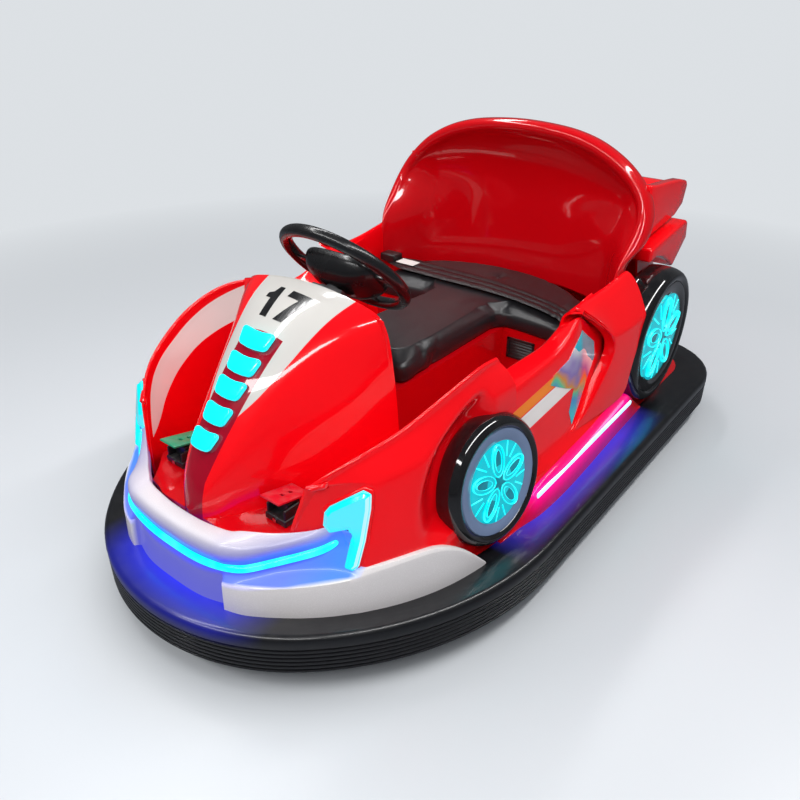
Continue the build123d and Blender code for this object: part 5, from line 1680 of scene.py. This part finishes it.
@dataclass
class SeatCushion:
    """T-shaped vinyl cushion: a wide bench that narrows to a tongue between the knees."""

    floor_z: float = 0.398
    top_z: float = 0.462
    tongue_half: float = 0.146
    tongue_front: float = -0.303
    bench_front: float = 0.165
    bench_half: float = 0.343
    rear_radius: float = 0.4836
    rear_centre: float = 0.0084
    voxel: float = 0.0055
    pressure: float = 4.0
    cap: float = 0.022
    button_y: float = 0.362
    dimple: float = 0.045

    def outline(self) -> list[Point]:
        """Plan of the cushion, slightly small because it swells."""
        inset = 0.006
        tongue, bench = self.tongue_half - inset, self.bench_half - inset
        radius = self.rear_radius - inset - 0.004
        corner, waist = 0.030, 0.040
        first = atan2(sqrt(radius ** 2 - bench ** 2), bench)
        half = (
            turn_about(tongue - corner, self.tongue_front + inset + corner, corner, -pi / 2, 0.0, 4)
            + turn_about(tongue + waist, self.bench_front - waist, waist, pi, pi / 2, 4)
            + turn_about(bench - corner, self.bench_front + inset * 0.5 + corner, corner, -pi / 2, 0.0, 4)
            + turn_about(0.0, self.rear_centre, radius, first, pi / 2, 7)[:-1]
        )
        right = [(-x, y) for x, y in reversed(half)]
        return [(x, y, self.floor_z) for x, y in (*half, (0.0, self.rear_centre + radius), *right)]

    def pad(self) -> Piece:
        """Blank of the pad, filled out by a cloth simulation."""
        thick = self.top_z - self.floor_z - 0.010
        piece = outline_plate("seat_cushion_pad", self.outline(), Vector((0.0, 0.0, thick)))
        clean(piece)
        soften(piece, 0.018, 4, 40)
        modify(piece, "REMESH", mode="VOXEL", voxel_size=self.voxel, use_smooth_shade=True)
        start = [vertex.co.copy() for vertex in piece.data.vertices]
        cloth = piece.modifiers.new("Stuffing", "CLOTH")
        settings = cloth.settings
        settings.quality = 5
        settings.use_pressure = True
        settings.uniform_pressure_force = self.pressure
        settings.effector_weights.gravity = 0.0
        settings.tension_stiffness = settings.compression_stiffness = 20.0
        settings.bending_stiffness = 2.0
        scene = bpy.context.scene
        for number in range(1, 21):
            scene.frame_set(number)
        choose(piece)
        bpy.ops.object.modifier_apply(modifier=cloth.name)
        scene.frame_set(1)
        for vertex, before in zip(piece.data.vertices, start):
            move = vertex.co - before
            if move.length > self.cap:
                move *= self.cap / move.length
            spot = before + move
            spot.z = max(spot.z, self.floor_z)
            vertex.co = spot
        return piece

    def build(self) -> None:
        """Model the cushion with its edge seam and its button."""
        piece = self.pad()
        modify(piece, "SMOOTH", factor=0.5, iterations=6)
        subdivide(piece, 1)
        top = self.top_z + 0.004
        piping_z = self.top_z - 0.014
        for vertex in piece.data.vertices:
            place = vertex.co
            place.z = min(place.z, top + 0.004)
            seam = 1.0 - min(abs(place.z - piping_z) / 0.004, 1.0)
            if seam > 0.0:
                place.z -= 0.0006 * seam
            button = sqrt(place.x ** 2 + (place.y - self.button_y) ** 2)
            if place.z > piping_z and button < self.dimple:
                place.z -= 0.009 * (1.0 - button / self.dimple) ** 2
        hand_over(surface(piece, "vinyl", angle=60), "black_vinyl", "seat_cushion")
        profile = metres((0.2, 5), (6, 4.5), (10, 2), (11, -1), (8, -4), (0.2, -4))
        spot = Matrix.Translation((0.0, self.button_y, self.top_z - 0.002))
        button = lathe("seat_button", profile, spot, 32)
        hand_over(surface(button, "vinyl", angle=60), "black_vinyl")


@dataclass
class LapBelt:
    """Belt laid across the bench, bunched at one end, with its catch and a blank label."""

    rows: tuple = metres(
        # across x, rear y, front y, height
        (-350, 296, 246, 470), (-300, 306, 220, 474), (-266, 309, 208, 476), (-120, 306, 206, 477),
        (30, 298, 206, 478), (140, 278, 200, 477), (244, 255, 180, 475), (300, 240, 170, 468),
        (338, 228, 172, 452),
    )
    ridges: int = 3
    height: float = 0.004

    def strap(self) -> Piece:
        """Webbing in three lengthwise folds, with ripples at the bunched end."""
        rows = []
        columns = self.ridges * 6
        dense = []
        for first, second in zip(self.rows, self.rows[1:]):
            for step in range(6):
                dense.append(blend(first, second, step / 6))
        dense.append(self.rows[-1])
        for x, rear, front, level in dense:
            row = []
            bunch = max(0.0, (x - 0.24) / 0.10)
            for step in range(columns + 1):
                share = step / columns
                fold = abs(sin(pi * self.ridges * share))
                lift = self.height * (0.35 + fold) + 0.004 * bunch * sin(240 * x + 9 * share)
                row.append((x, front + (rear - front) * share, level + lift))
            rows.append(row)
        piece = thicken(subdivide(cage("lap_belt_webbing", rows), 1), 0.0016)
        return surface(piece, "webbing", angle=60)

    def build(self) -> None:
        """Model the strap, the catch and the label."""
        hand_over(self.strap(), "belt_webbing", "lap_belt")
        catch = block("belt_catch", (-0.345, 0.262, 0.487), (0.060, 0.044, 0.026))
        soften(catch, 0.006, 4, 40)
        hand_over(surface(catch, "soft"), "soft_black")
        corners = metres((-305, 236, 484), (-238, 236, 484), (-238, 274, 484.5), (-305, 274, 484.5))
        label = dress(outline_plate("belt_label", corners, Vector((0.0, 0.0, 0.0012))), paint("label"))
        hand_over(label, "black_vinyl")


@dataclass
class SeatBack:
    """Tall tub-shaped seat back with a rolled rim."""

    side: tuple = metres(
        # panel edge x, y, z, then rim x, y, z, from the bottom up
        ((384, 290, 440), (398, 280, 440)), ((386, 293, 530), (401, 284, 530)),
        ((388, 300, 600), (404, 292, 612)), ((394, 356, 655), (432, 347, 636)),
        ((388, 400, 708), (431, 392, 700)), ((364, 422, 750), (408, 412, 758)),
    )
    top: tuple = metres(
        ((330, 426, 782), (367, 417, 804)), ((288, 428, 812), (321, 416, 844)),
        ((226, 430, 842), (250, 420, 881)), ((170, 432, 858), (187, 422, 899)),
        ((113, 433, 869), (127, 421, 910)), ((0, 434, 876), (0, 421, 919)),
    )
    middle: tuple = metres(490, 498, 500, 496, 478, 434)
    roll: tuple = (
        # share of the way across the rim, and how far back
        (0.0, 0.0), (0.16, -0.010), (0.45, -0.017), (0.78, -0.013), (1.0, 0.002), (1.0, 0.030), (0.9, 0.036),
    )
    wall: float = 0.007

    def panel_rows(self) -> list[list[Point]]:
        """Rows of the hollow panel, bottom to top, left to right."""
        floor = self.side[0][0][2]
        full = self.side[-1][0][2] - floor
        rows = []
        for level, (edge, _) in enumerate(self.side):
            share = (edge[2] - floor) / full
            half = [edge]
            for inner, _ in self.top:
                if level == len(self.side) - 1:
                    half.append(inner)
                    continue
                part = inner[0] / edge[0]
                height = floor + (inner[2] - floor) * share
                depth = edge[1] + (self.middle[level] - edge[1]) * sqrt(max(0.0, 1 - part ** 2.3))
                half.append((edge[0] * part, depth, height))
            rows.append(full_row(half))
        return rows

    def rim_rows(self) -> list[list[Point]]:
        """Rows of the rolled rim, from the left foot over the top to the right foot."""
        half = []
        for inner, outer in (*self.side, *self.top):
            start, end = Vector(inner), Vector(outer)
            across = end - start
            row = [start + across * share + Vector((0.0, push, 0.0)) for share, push in self.roll]
            half.append([tuple(place) for place in row])
        return half + [[(-x, y, z) for x, y, z in row] for row in reversed(half[:-1])]

    def build(self) -> None:
        """Model panel and rim in one smooth shell."""
        panel = cage("back_panel", self.panel_rows())
        rim = cage("back_rim", self.rim_rows())
        piece = thicken(subdivide(clean(join("seat_back_shell", [panel, rim])), 3), self.wall)
        # The shell takes the red gelcoat painted darker, as painted shade.
        hand_over(surface(piece, "deep", angle=50), "red_shell", "seat_back")


# ------------------------------------------------------------------ controls


@dataclass
class SteeringControls:
    """Padded steering wheel with its deep hub tray, spokes and clamp."""

    centre: Point = (0.0, -0.327, 0.679)
    tilt: float = 46.0
    radius: float = 0.152
    grip: float = 0.0145

    def place(self) -> Matrix:
        """Frame of the wheel: z towards the driver, y up the rim."""
        normal = (0.0, cos(radians(90 - self.tilt)), sin(radians(90 - self.tilt)))
        return facing(self.centre, normal)

    def rim(self) -> Piece:
        """Soft grip, a little flat on the driver's side."""
        choose()
        bpy.ops.mesh.primitive_torus_add(
            major_radius=self.radius, minor_radius=self.grip, major_segments=96, minor_segments=24
        )
        piece = name_new("steering_rim")
        piece.data.transform(self.place())
        return surface(piece, "grip", angle=60)

    def tray(self) -> Piece:
        """Deep padded hub between the spokes."""
        rows = []
        for height, wide, tall in (
            (0.006, 0.080, 0.050), (0.014, 0.092, 0.060), (0.010, 0.102, 0.068), (-0.006, 0.104, 0.069),
            (-0.030, 0.090, 0.058), (-0.048, 0.060, 0.042), (-0.054, 0.030, 0.024),
        ):
            row = []
            for step in range(25):
                angle = 2 * pi * step / 24
                squash = (abs(cos(angle)) ** 4 + abs(sin(angle)) ** 4) ** -0.25
                row.append((wide * squash * cos(angle), tall * squash * sin(angle) - 0.006, height))
            rows.append(row)
        middle = rows[0][0][2]
        rows.insert(0, [(0.0, -0.006, middle)] * 25)
        rows.append([(0.0, -0.006, -0.054)] * 25)
        piece = cage("steering_tray", rows)
        clean(piece)
        subdivide(piece, 2)
        piece.data.transform(self.place())
        return surface(piece, "grip", angle=60)

    def spokes(self) -> Piece:
        """Two level spokes and one down to the rim."""
        made = []
        for name, turn, wide in (("right", 0.0, 0.022), ("left", 180.0, 0.022), ("down", -90.0, 0.030)):
            bar = block(f"spoke_{name}", (0.108, 0.0, -0.004), (0.082, wide * 1.5, 0.008))
            soften(bar, 0.003, 3, 40)
            bar.data.transform(Matrix.Rotation(radians(turn), 4, "Z"))
            made.append(bar)
        piece = join("steering_spokes", made)
        piece.data.transform(self.place())
        return surface(piece, "grip")

    def clamp(self) -> Piece:
        """Clamp and bolts behind the hub, on the column."""
        plate = block("clamp_plate", (0.0, 0.0, -0.068), (0.066, 0.054, 0.012))
        soften(plate, 0.003, 3, 40)
        made = [plate]
        for x in (-0.022, 0.022):
            for y in (-0.016, 0.016):
                made.append(rod("clamp_bolt", (x, y, -0.085), (x, y, -0.056), 0.0045, 6))
        made.append(rod("clamp_neck", (0.0, 0.0, -0.100), (0.0, 0.0, -0.050), 0.020, 40))
        piece = join("steering_clamp", made)
        piece.data.transform(self.place())
        return surface(piece, "steel")

    def build(self) -> None:
        """Model the wheel; it turns with the steering."""
        hand_over(self.rim(), "soft_black", "steering_wheel", body=Body.STEERING)
        hand_over(self.tray(), "soft_black", body=Body.STEERING)
        hand_over(self.spokes(), "soft_black", body=Body.STEERING)
        hand_over(self.clamp(), "soft_black", "wheel_boss", body=Body.STEERING)


@dataclass
class Pedals:
    """Go and stop pedals: a flat plate with two fixing holes on a black base.

    Attributes:
        kinds: For each side its node and its finish.
    """

    kinds: dict = field(default_factory=lambda: {
        Side.LEFT: ("pedal_stop", "pedal_red"), Side.RIGHT: ("pedal_go", "pedal_green"),
    })
    middle: tuple = (0.166, -0.708, 0.343)
    floor_z: float = 0.290
    tilt: float = -13.0

    def plate(self, side: Side) -> Piece:
        """Painted plate with its two holes."""
        node, finish = self.kinds[side]
        piece = block(f"{node}_plate", (0.0, 0.0, 0.0), (0.054, 0.088, 0.0045))
        for spot in (-0.008, 0.014):
            drill = rod("drill", (0.0, spot, -0.02), (0.0, spot, 0.02), 0.0048, 20)
            modify(piece, "BOOLEAN", operation="DIFFERENCE", object=drill, solver="EXACT")
            choose(drill)
            bpy.ops.object.delete()
        soften(piece, 0.0012, 2, 40)
        x, y, z = self.middle
        piece.data.transform(leaning((side.value * x, y, z), self.tilt))
        return hand_over(surface(piece, finish, angle=40), finish, node)

    def base(self, side: Side) -> list[Piece]:
        """Black spring base with cheeks and a bright bolt."""
        x, y, z = self.middle
        x *= side.value
        foot = block("pedal_foot", (x, y - 0.006, self.floor_z + 0.008), (0.060, 0.054, 0.016))
        core = block("pedal_core", (x, y + 0.004, self.floor_z + 0.026), (0.040, 0.034, 0.036))
        made = [foot, core]
        for sign in (-1, 1):
            spot = (x + sign * 0.0245, y - 0.008, self.floor_z + 0.023)
            made.append(block("pedal_cheek", spot, (0.006, 0.044, 0.032)))
        for piece in made:
            soften(piece, 0.003, 3, 40)
            dress(piece, paint("soft"), paint("bright"))
        height = self.floor_z + 0.009
        bolt = rod("pedal_bolt", (x, y - 0.036, height), (x, y - 0.030, height), 0.0055, 6)
        made.append(paint_faces(dress(bolt, paint("soft"), paint("bright")), 1))
        return made

    def build(self) -> None:
        """Model both pedals."""
        parts = []
        for side in Side:
            self.plate(side)
            parts += self.base(side)
        hand_over(shade(join("pedal_base_pair", parts), 40), "soft_black", "pedal_bases")


@dataclass
class SeatVents:
    """Louvred black vents on the front of the seat box."""

    middle_x: float = 0.195
    face_y: float = 0.173
    middle_z: float = 0.345
    size: tuple[float, float] = (0.086, 0.062)
    slats: int = 6

    def build(self) -> None:
        """Model a frame with slats on each side of the tongue."""
        wide, tall = self.size
        parts = []
        for side in Side:
            x, z = side.value * self.middle_x, self.middle_z
            parts.append(block("vent_back", (x, self.face_y + 0.0030, z), (wide, 0.0010, tall)))
            for sign in (-1, 1):
                post = (x + sign * (wide / 2 - 0.003), self.face_y + 0.001, z)
                parts.append(block("vent_post", post, (0.006, 0.004, tall)))
                rail = (x, self.face_y + 0.001, z + sign * (tall / 2 - 0.003))
                parts.append(block("vent_rail", rail, (wide, 0.004, 0.006)))
            for number in range(self.slats):
                height = z + (number - (self.slats - 1) / 2) * (tall - 0.016) / (self.slats - 1)
                slat = (x, self.face_y + 0.0015, height)
                turn = Matrix.Rotation(radians(-32), 4, "X")
                parts.append(block("vent_slat", slat, (wide - 0.012, 0.0012, 0.0075), turn))
        piece = join("seat_vent_pair", parts)
        soften(piece, 0.0008, 2, 40)
        hand_over(surface(piece, "soft", angle=40), "soft_black", "seat_vents")


# ------------------------------------------------------------------ tail


@dataclass
class Tail:
    """Rear deck with its lamps, the stacked side fins and the wing between them.

    Attributes:
        sections: y, foot x, side x, side z, shoulder x, shoulder z, crown z.
        upper: y and z round the upper fin's outer face.
        lower: y and z round the lower fin's outer face.
        wing: y and z round the wing's section.
    """

    sections: tuple = metres(
        (506, 388, 386, 400, 362, 600, 632), (580, 388, 385, 400, 356, 590, 622),
        (660, 386, 382, 390, 346, 560, 592), (740, 380, 375, 370, 330, 506, 538),
        (800, 371, 363, 345, 310, 440, 470), (842, 360, 350, 312, 292, 372, 398),
        (866, 346, 336, 270, 286, 306, 326),
    )
    upper: tuple = metres(
        (434, 786), (480, 779), (600, 770), (662, 764), (716, 752), (728, 738), (718, 684), (667, 658),
        (525, 640), (450, 640),
    )
    lower: tuple = metres(
        (436, 616), (465, 622), (684, 648), (700, 640), (712, 590), (630, 520), (590, 545), (540, 572),
        (480, 586), (436, 580),
    )
    wing: tuple = metres(
        (606, 718), (640, 738), (694, 748), (730, 744), (734, 736), (728, 728), (690, 724), (640, 718),
    )
    wall: float = 0.006
    lamp: tuple = (0.150, 0.846, 0.372)
    lamp_slope: float = 49.0

    def deck(self) -> Piece:
        """Rounded rear deck that falls to a short upright back."""
        rows = []
        for y, foot, side_x, side_z, edge_x, edge_z, crown in self.sections:
            half = [
                (foot, y, DECK), ((foot + side_x) / 2, y, (DECK + side_z) / 2), (side_x, y, side_z),
                ((side_x + edge_x) / 2 + 0.004, y, (side_z + edge_z) / 2), (edge_x, y, edge_z),
                (edge_x * 0.86, y, edge_z + (crown - edge_z) * 0.62), (edge_x * 0.5, y, crown - 0.006),
                (0.0, y, crown),
            ]
            rows.append(full_row(half))
        last = rows[-1]
        for shrink, push, lower in ((0.96, 0.0, 0.97), (0.5, 0.001, 0.935), (0.0, 0.001, 0.9)):
            rows.append([(x * shrink, y + push, DECK + (z - DECK) * lower) for x, y, z in last])
        piece = clean(cage("tail_deck", rows))
        crease(piece, on_line(rows[0]), 1.0)
        crease(piece, on_line(last), 0.3)
        crease(piece, on_line(column(rows, 4) + column(rows, 10)), 0.25)
        subdivide(piece, 3)
        clean(piece)
        thicken(piece, self.wall, even=False)
        return hand_over(surface(piece, "red"), "red_shell", "tail_body")

    def fins(self) -> Piece:
        """Both fins of both sides, joined by the wing."""
        made = []
        for name, outline, outer, inner, lean in (
            ("upper_fin", self.upper, 0.400, 0.368, 0.020), ("lower_fin", self.lower, 0.430, 0.366, 0.0),
        ):
            low = min(z for _, z in outline)
            shape = [(outer + lean * (z - low - 0.1), y, z) for y, z in outline]
            fin = outline_plate(name, shape, Vector((inner - outer, 0.0, 0.0)))
            made.append(soften(fin, 0.007, 4, 30))
        web = block("fin_web", (0.376, 0.560, 0.632), (0.020, 0.160, 0.060))
        made.append(soften(web, 0.004, 2, 40))
        fins = join("tail_fins_left", made)
        rows = []
        half = ((0.372, 0.0), (0.30, 0.002), (0.15, 0.003))
        for x, lift in (*((-x, lift) for x, lift in half), (0.0, 0.003), *reversed(half)):
            rows.append([(x, y, z + lift - 0.003) for y, z in (*self.wing, self.wing[0])])
        blade = clean(cage("tail_blade", rows))
        subdivide(blade, 2)
        piece = join("tail_fins", [fins, mirrored(fins, "tail_fins_right"), blade])
        return hand_over(surface(piece, "red", angle=40), "red_shell", "tail_wings")

    def lamps(self) -> Piece:
        """Two flush red lamps over the bumper."""
        made = []
        for side in Side:
            lamp = block("tail_lamp", (0.0, 0.0, 0.0), (0.148, 0.036, 0.016))
            soften(lamp, 0.007, 4, 40)
            x, y, z = self.lamp
            lamp.data.transform(leaning((side.value * x, y, z), -self.lamp_slope))
            made.append(lamp)
        piece = join("tail_lamps", made)
        return hand_over(surface(piece, "tail", angle=40), "tail_lamp", "tail_lights")

    def build(self) -> None:
        """Model the whole tail."""
        self.deck()
        self.fins()
        self.lamps()


# ------------------------------------------------------------------ construction nodes that stay


@dataclass
class RunningGear:
    """Construction pieces whose shapes are right; they get their finishes here."""

    finishes: dict = field(default_factory=lambda: {
        "steel": (
            "chassis_frame", "drive_bridge", "drive_fork", "rear_axle", "column_bracket", "steering_column",
        ),
        "road": ("drive_wheel", "rear_wheel_left", "rear_wheel_right"),
        # Floor pan and seat base take the red painted darker, as painted shade.
        "deep": ("floor_pan", "seat_base"),
        "battery": ("battery_block",),
    })

    def build(self) -> None:
        """Give each carried node its material."""
        for finish, nodes in self.finishes.items():
            for node in nodes:
                dress(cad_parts[node], paint(finish))
                LOG.info("%s: carried, in %s", node, finish)


# ------------------------------------------------------------------ stage


@dataclass
class Stage:
    """Floor, soft lamps, world and camera."""

    eye: Point = (1.0819, -1.4859, 1.2272)
    turn: tuple = (60.58, 0.0, 38.52)
    lens: float = 32.48
    floor_colour: Colour = (0.64, 0.66, 0.68)
    mirrored_floor: Colour = (0.16, 0.17, 0.19)
    background: Colour = (0.72, 0.75, 0.78)
    surroundings: Colour = (0.80, 0.84, 0.90)
    daylight: float = 0.50
    mirrored_daylight: float = 0.12
    lamps: tuple = (
        # name, place, turn in degrees, size, power
        ("ceiling_left", (1.5, 0.3, 3.0), (0.0, 24.0, 0.0), (0.22, 4.2), 62.0),
        ("ceiling_right", (-1.5, 0.1, 3.0), (0.0, -24.0, 0.0), (0.22, 4.2), 52.0),
        ("ceiling_front", (0.2, -2.6, 2.6), (46.0, 0.0, 0.0), (3.4, 0.24), 44.0),
    )

    def floor(self) -> None:
        """Plain pale floor."""
        choose()
        bpy.ops.mesh.primitive_plane_add(size=40.0)
        piece = name_new("studio_floor")
        material = bpy.data.materials.new("studio_floor")
        material.use_nodes = True
        sheet = NodeSheet(material.node_tree)
        path = sheet.add("ShaderNodeLightPath").outputs
        tone = sheet.mix(path["Is Glossy Ray"], self.floor_colour, self.mirrored_floor)
        shader = sheet.add("ShaderNodeBsdfPrincipled", inputs={"Base Color": tone, "Roughness": 0.32})
        haze = sheet.add("ShaderNodeEmission", inputs={"Color": self.background, "Strength": 1.0})
        away = sheet.add("ShaderNodeVectorMath", operation="LENGTH", inputs={0: sheet.place()})
        share = sheet.times(path["Is Camera Ray"], sheet.spread(away.outputs["Value"], 1.3, 3.4))
        both = sheet.add("ShaderNodeMixShader", inputs={0: share, 1: shader.outputs[0], 2: haze.outputs[0]})
        sheet.add("ShaderNodeOutputMaterial", inputs={0: both.outputs[0]})
        dress(piece, material)

    def light(self) -> None:
        """Long soft ceiling lamps that draw streaks on the gloss."""
        for name, place, turn, size, power in self.lamps:
            choose()
            bpy.ops.object.light_add(type="AREA", location=place, rotation=[radians(part) for part in turn])
            lamp = bpy.context.object
            lamp.name = name
            lamp.data.shape = "RECTANGLE"
            lamp.data.size, lamp.data.size_y = size
            lamp.data.energy = power

    def world(self) -> None:
        """Even pale surroundings."""
        world = bpy.data.worlds.new("studio_world")
        bpy.context.scene.world = world
        world.use_nodes = True
        sheet = NodeSheet(world.node_tree)
        path = sheet.add("ShaderNodeLightPath").outputs
        behind = sheet.add("ShaderNodeBackground", inputs={"Color": self.background, "Strength": 1.0})
        strength = sheet.spread(path["Is Glossy Ray"], 0.0, 1.0, (self.daylight, self.mirrored_daylight))
        around = sheet.add("ShaderNodeBackground", inputs={"Color": self.surroundings, "Strength": strength})
        choice = {0: path["Is Camera Ray"], 1: around.outputs[0], 2: behind.outputs[0]}
        both = sheet.add("ShaderNodeMixShader", inputs=choice)
        sheet.add("ShaderNodeOutputWorld", inputs={0: both.outputs[0]})

    def camera(self) -> None:
        """Camera over the left front corner."""
        choose()
        bpy.ops.object.camera_add(location=self.eye, rotation=tuple(radians(part) for part in self.turn))
        camera = bpy.context.object
        camera.name = "studio_camera"
        camera.data.sensor_width = 36.0
        camera.data.lens = self.lens
        bpy.context.scene.camera = camera

    def build(self) -> None:
        """Set up everything round the car."""
        self.floor()
        self.light()
        self.world()
        self.camera()
        bpy.context.scene.view_settings.view_transform = "Standard"


def main() -> None:
    """Build the car piece by piece, in order."""
    logging.basicConfig(level=logging.INFO, format="%(message)s")
    parts = (
        RunningGear(),
        RubberRing(),
        NoseHood(),
        FrontWing(),
        SideBody(),
        FrontLip(),
        MouldedWheel(
            "front", (0.469, -0.371, 0.317), (0.982, -0.108, 0.151), 0.152, 0.0977, 0.122, 0.066,
            ("trim_tyre_front", "wheel_light_front"),
        ),
        MouldedWheel(
            "rear", (0.493, 0.472, 0.363), (1.0, 0.0, 0.0), 0.200, 0.133, 0.164, 0.100,
            ("trim_tyre_rear", "wheel_light_rear"), band_finish="tyre",
        ),
        SeatCushion(),
        LapBelt(),
        SeatBack(),
        SteeringControls(),
        Pedals(),
        SeatVents(),
        Tail(),
        Stage(),
    )
    for part in parts:
        LOG.info("-- %s", type(part).__name__)
        part.build()
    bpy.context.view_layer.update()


if __name__ == "__main__":
    main()
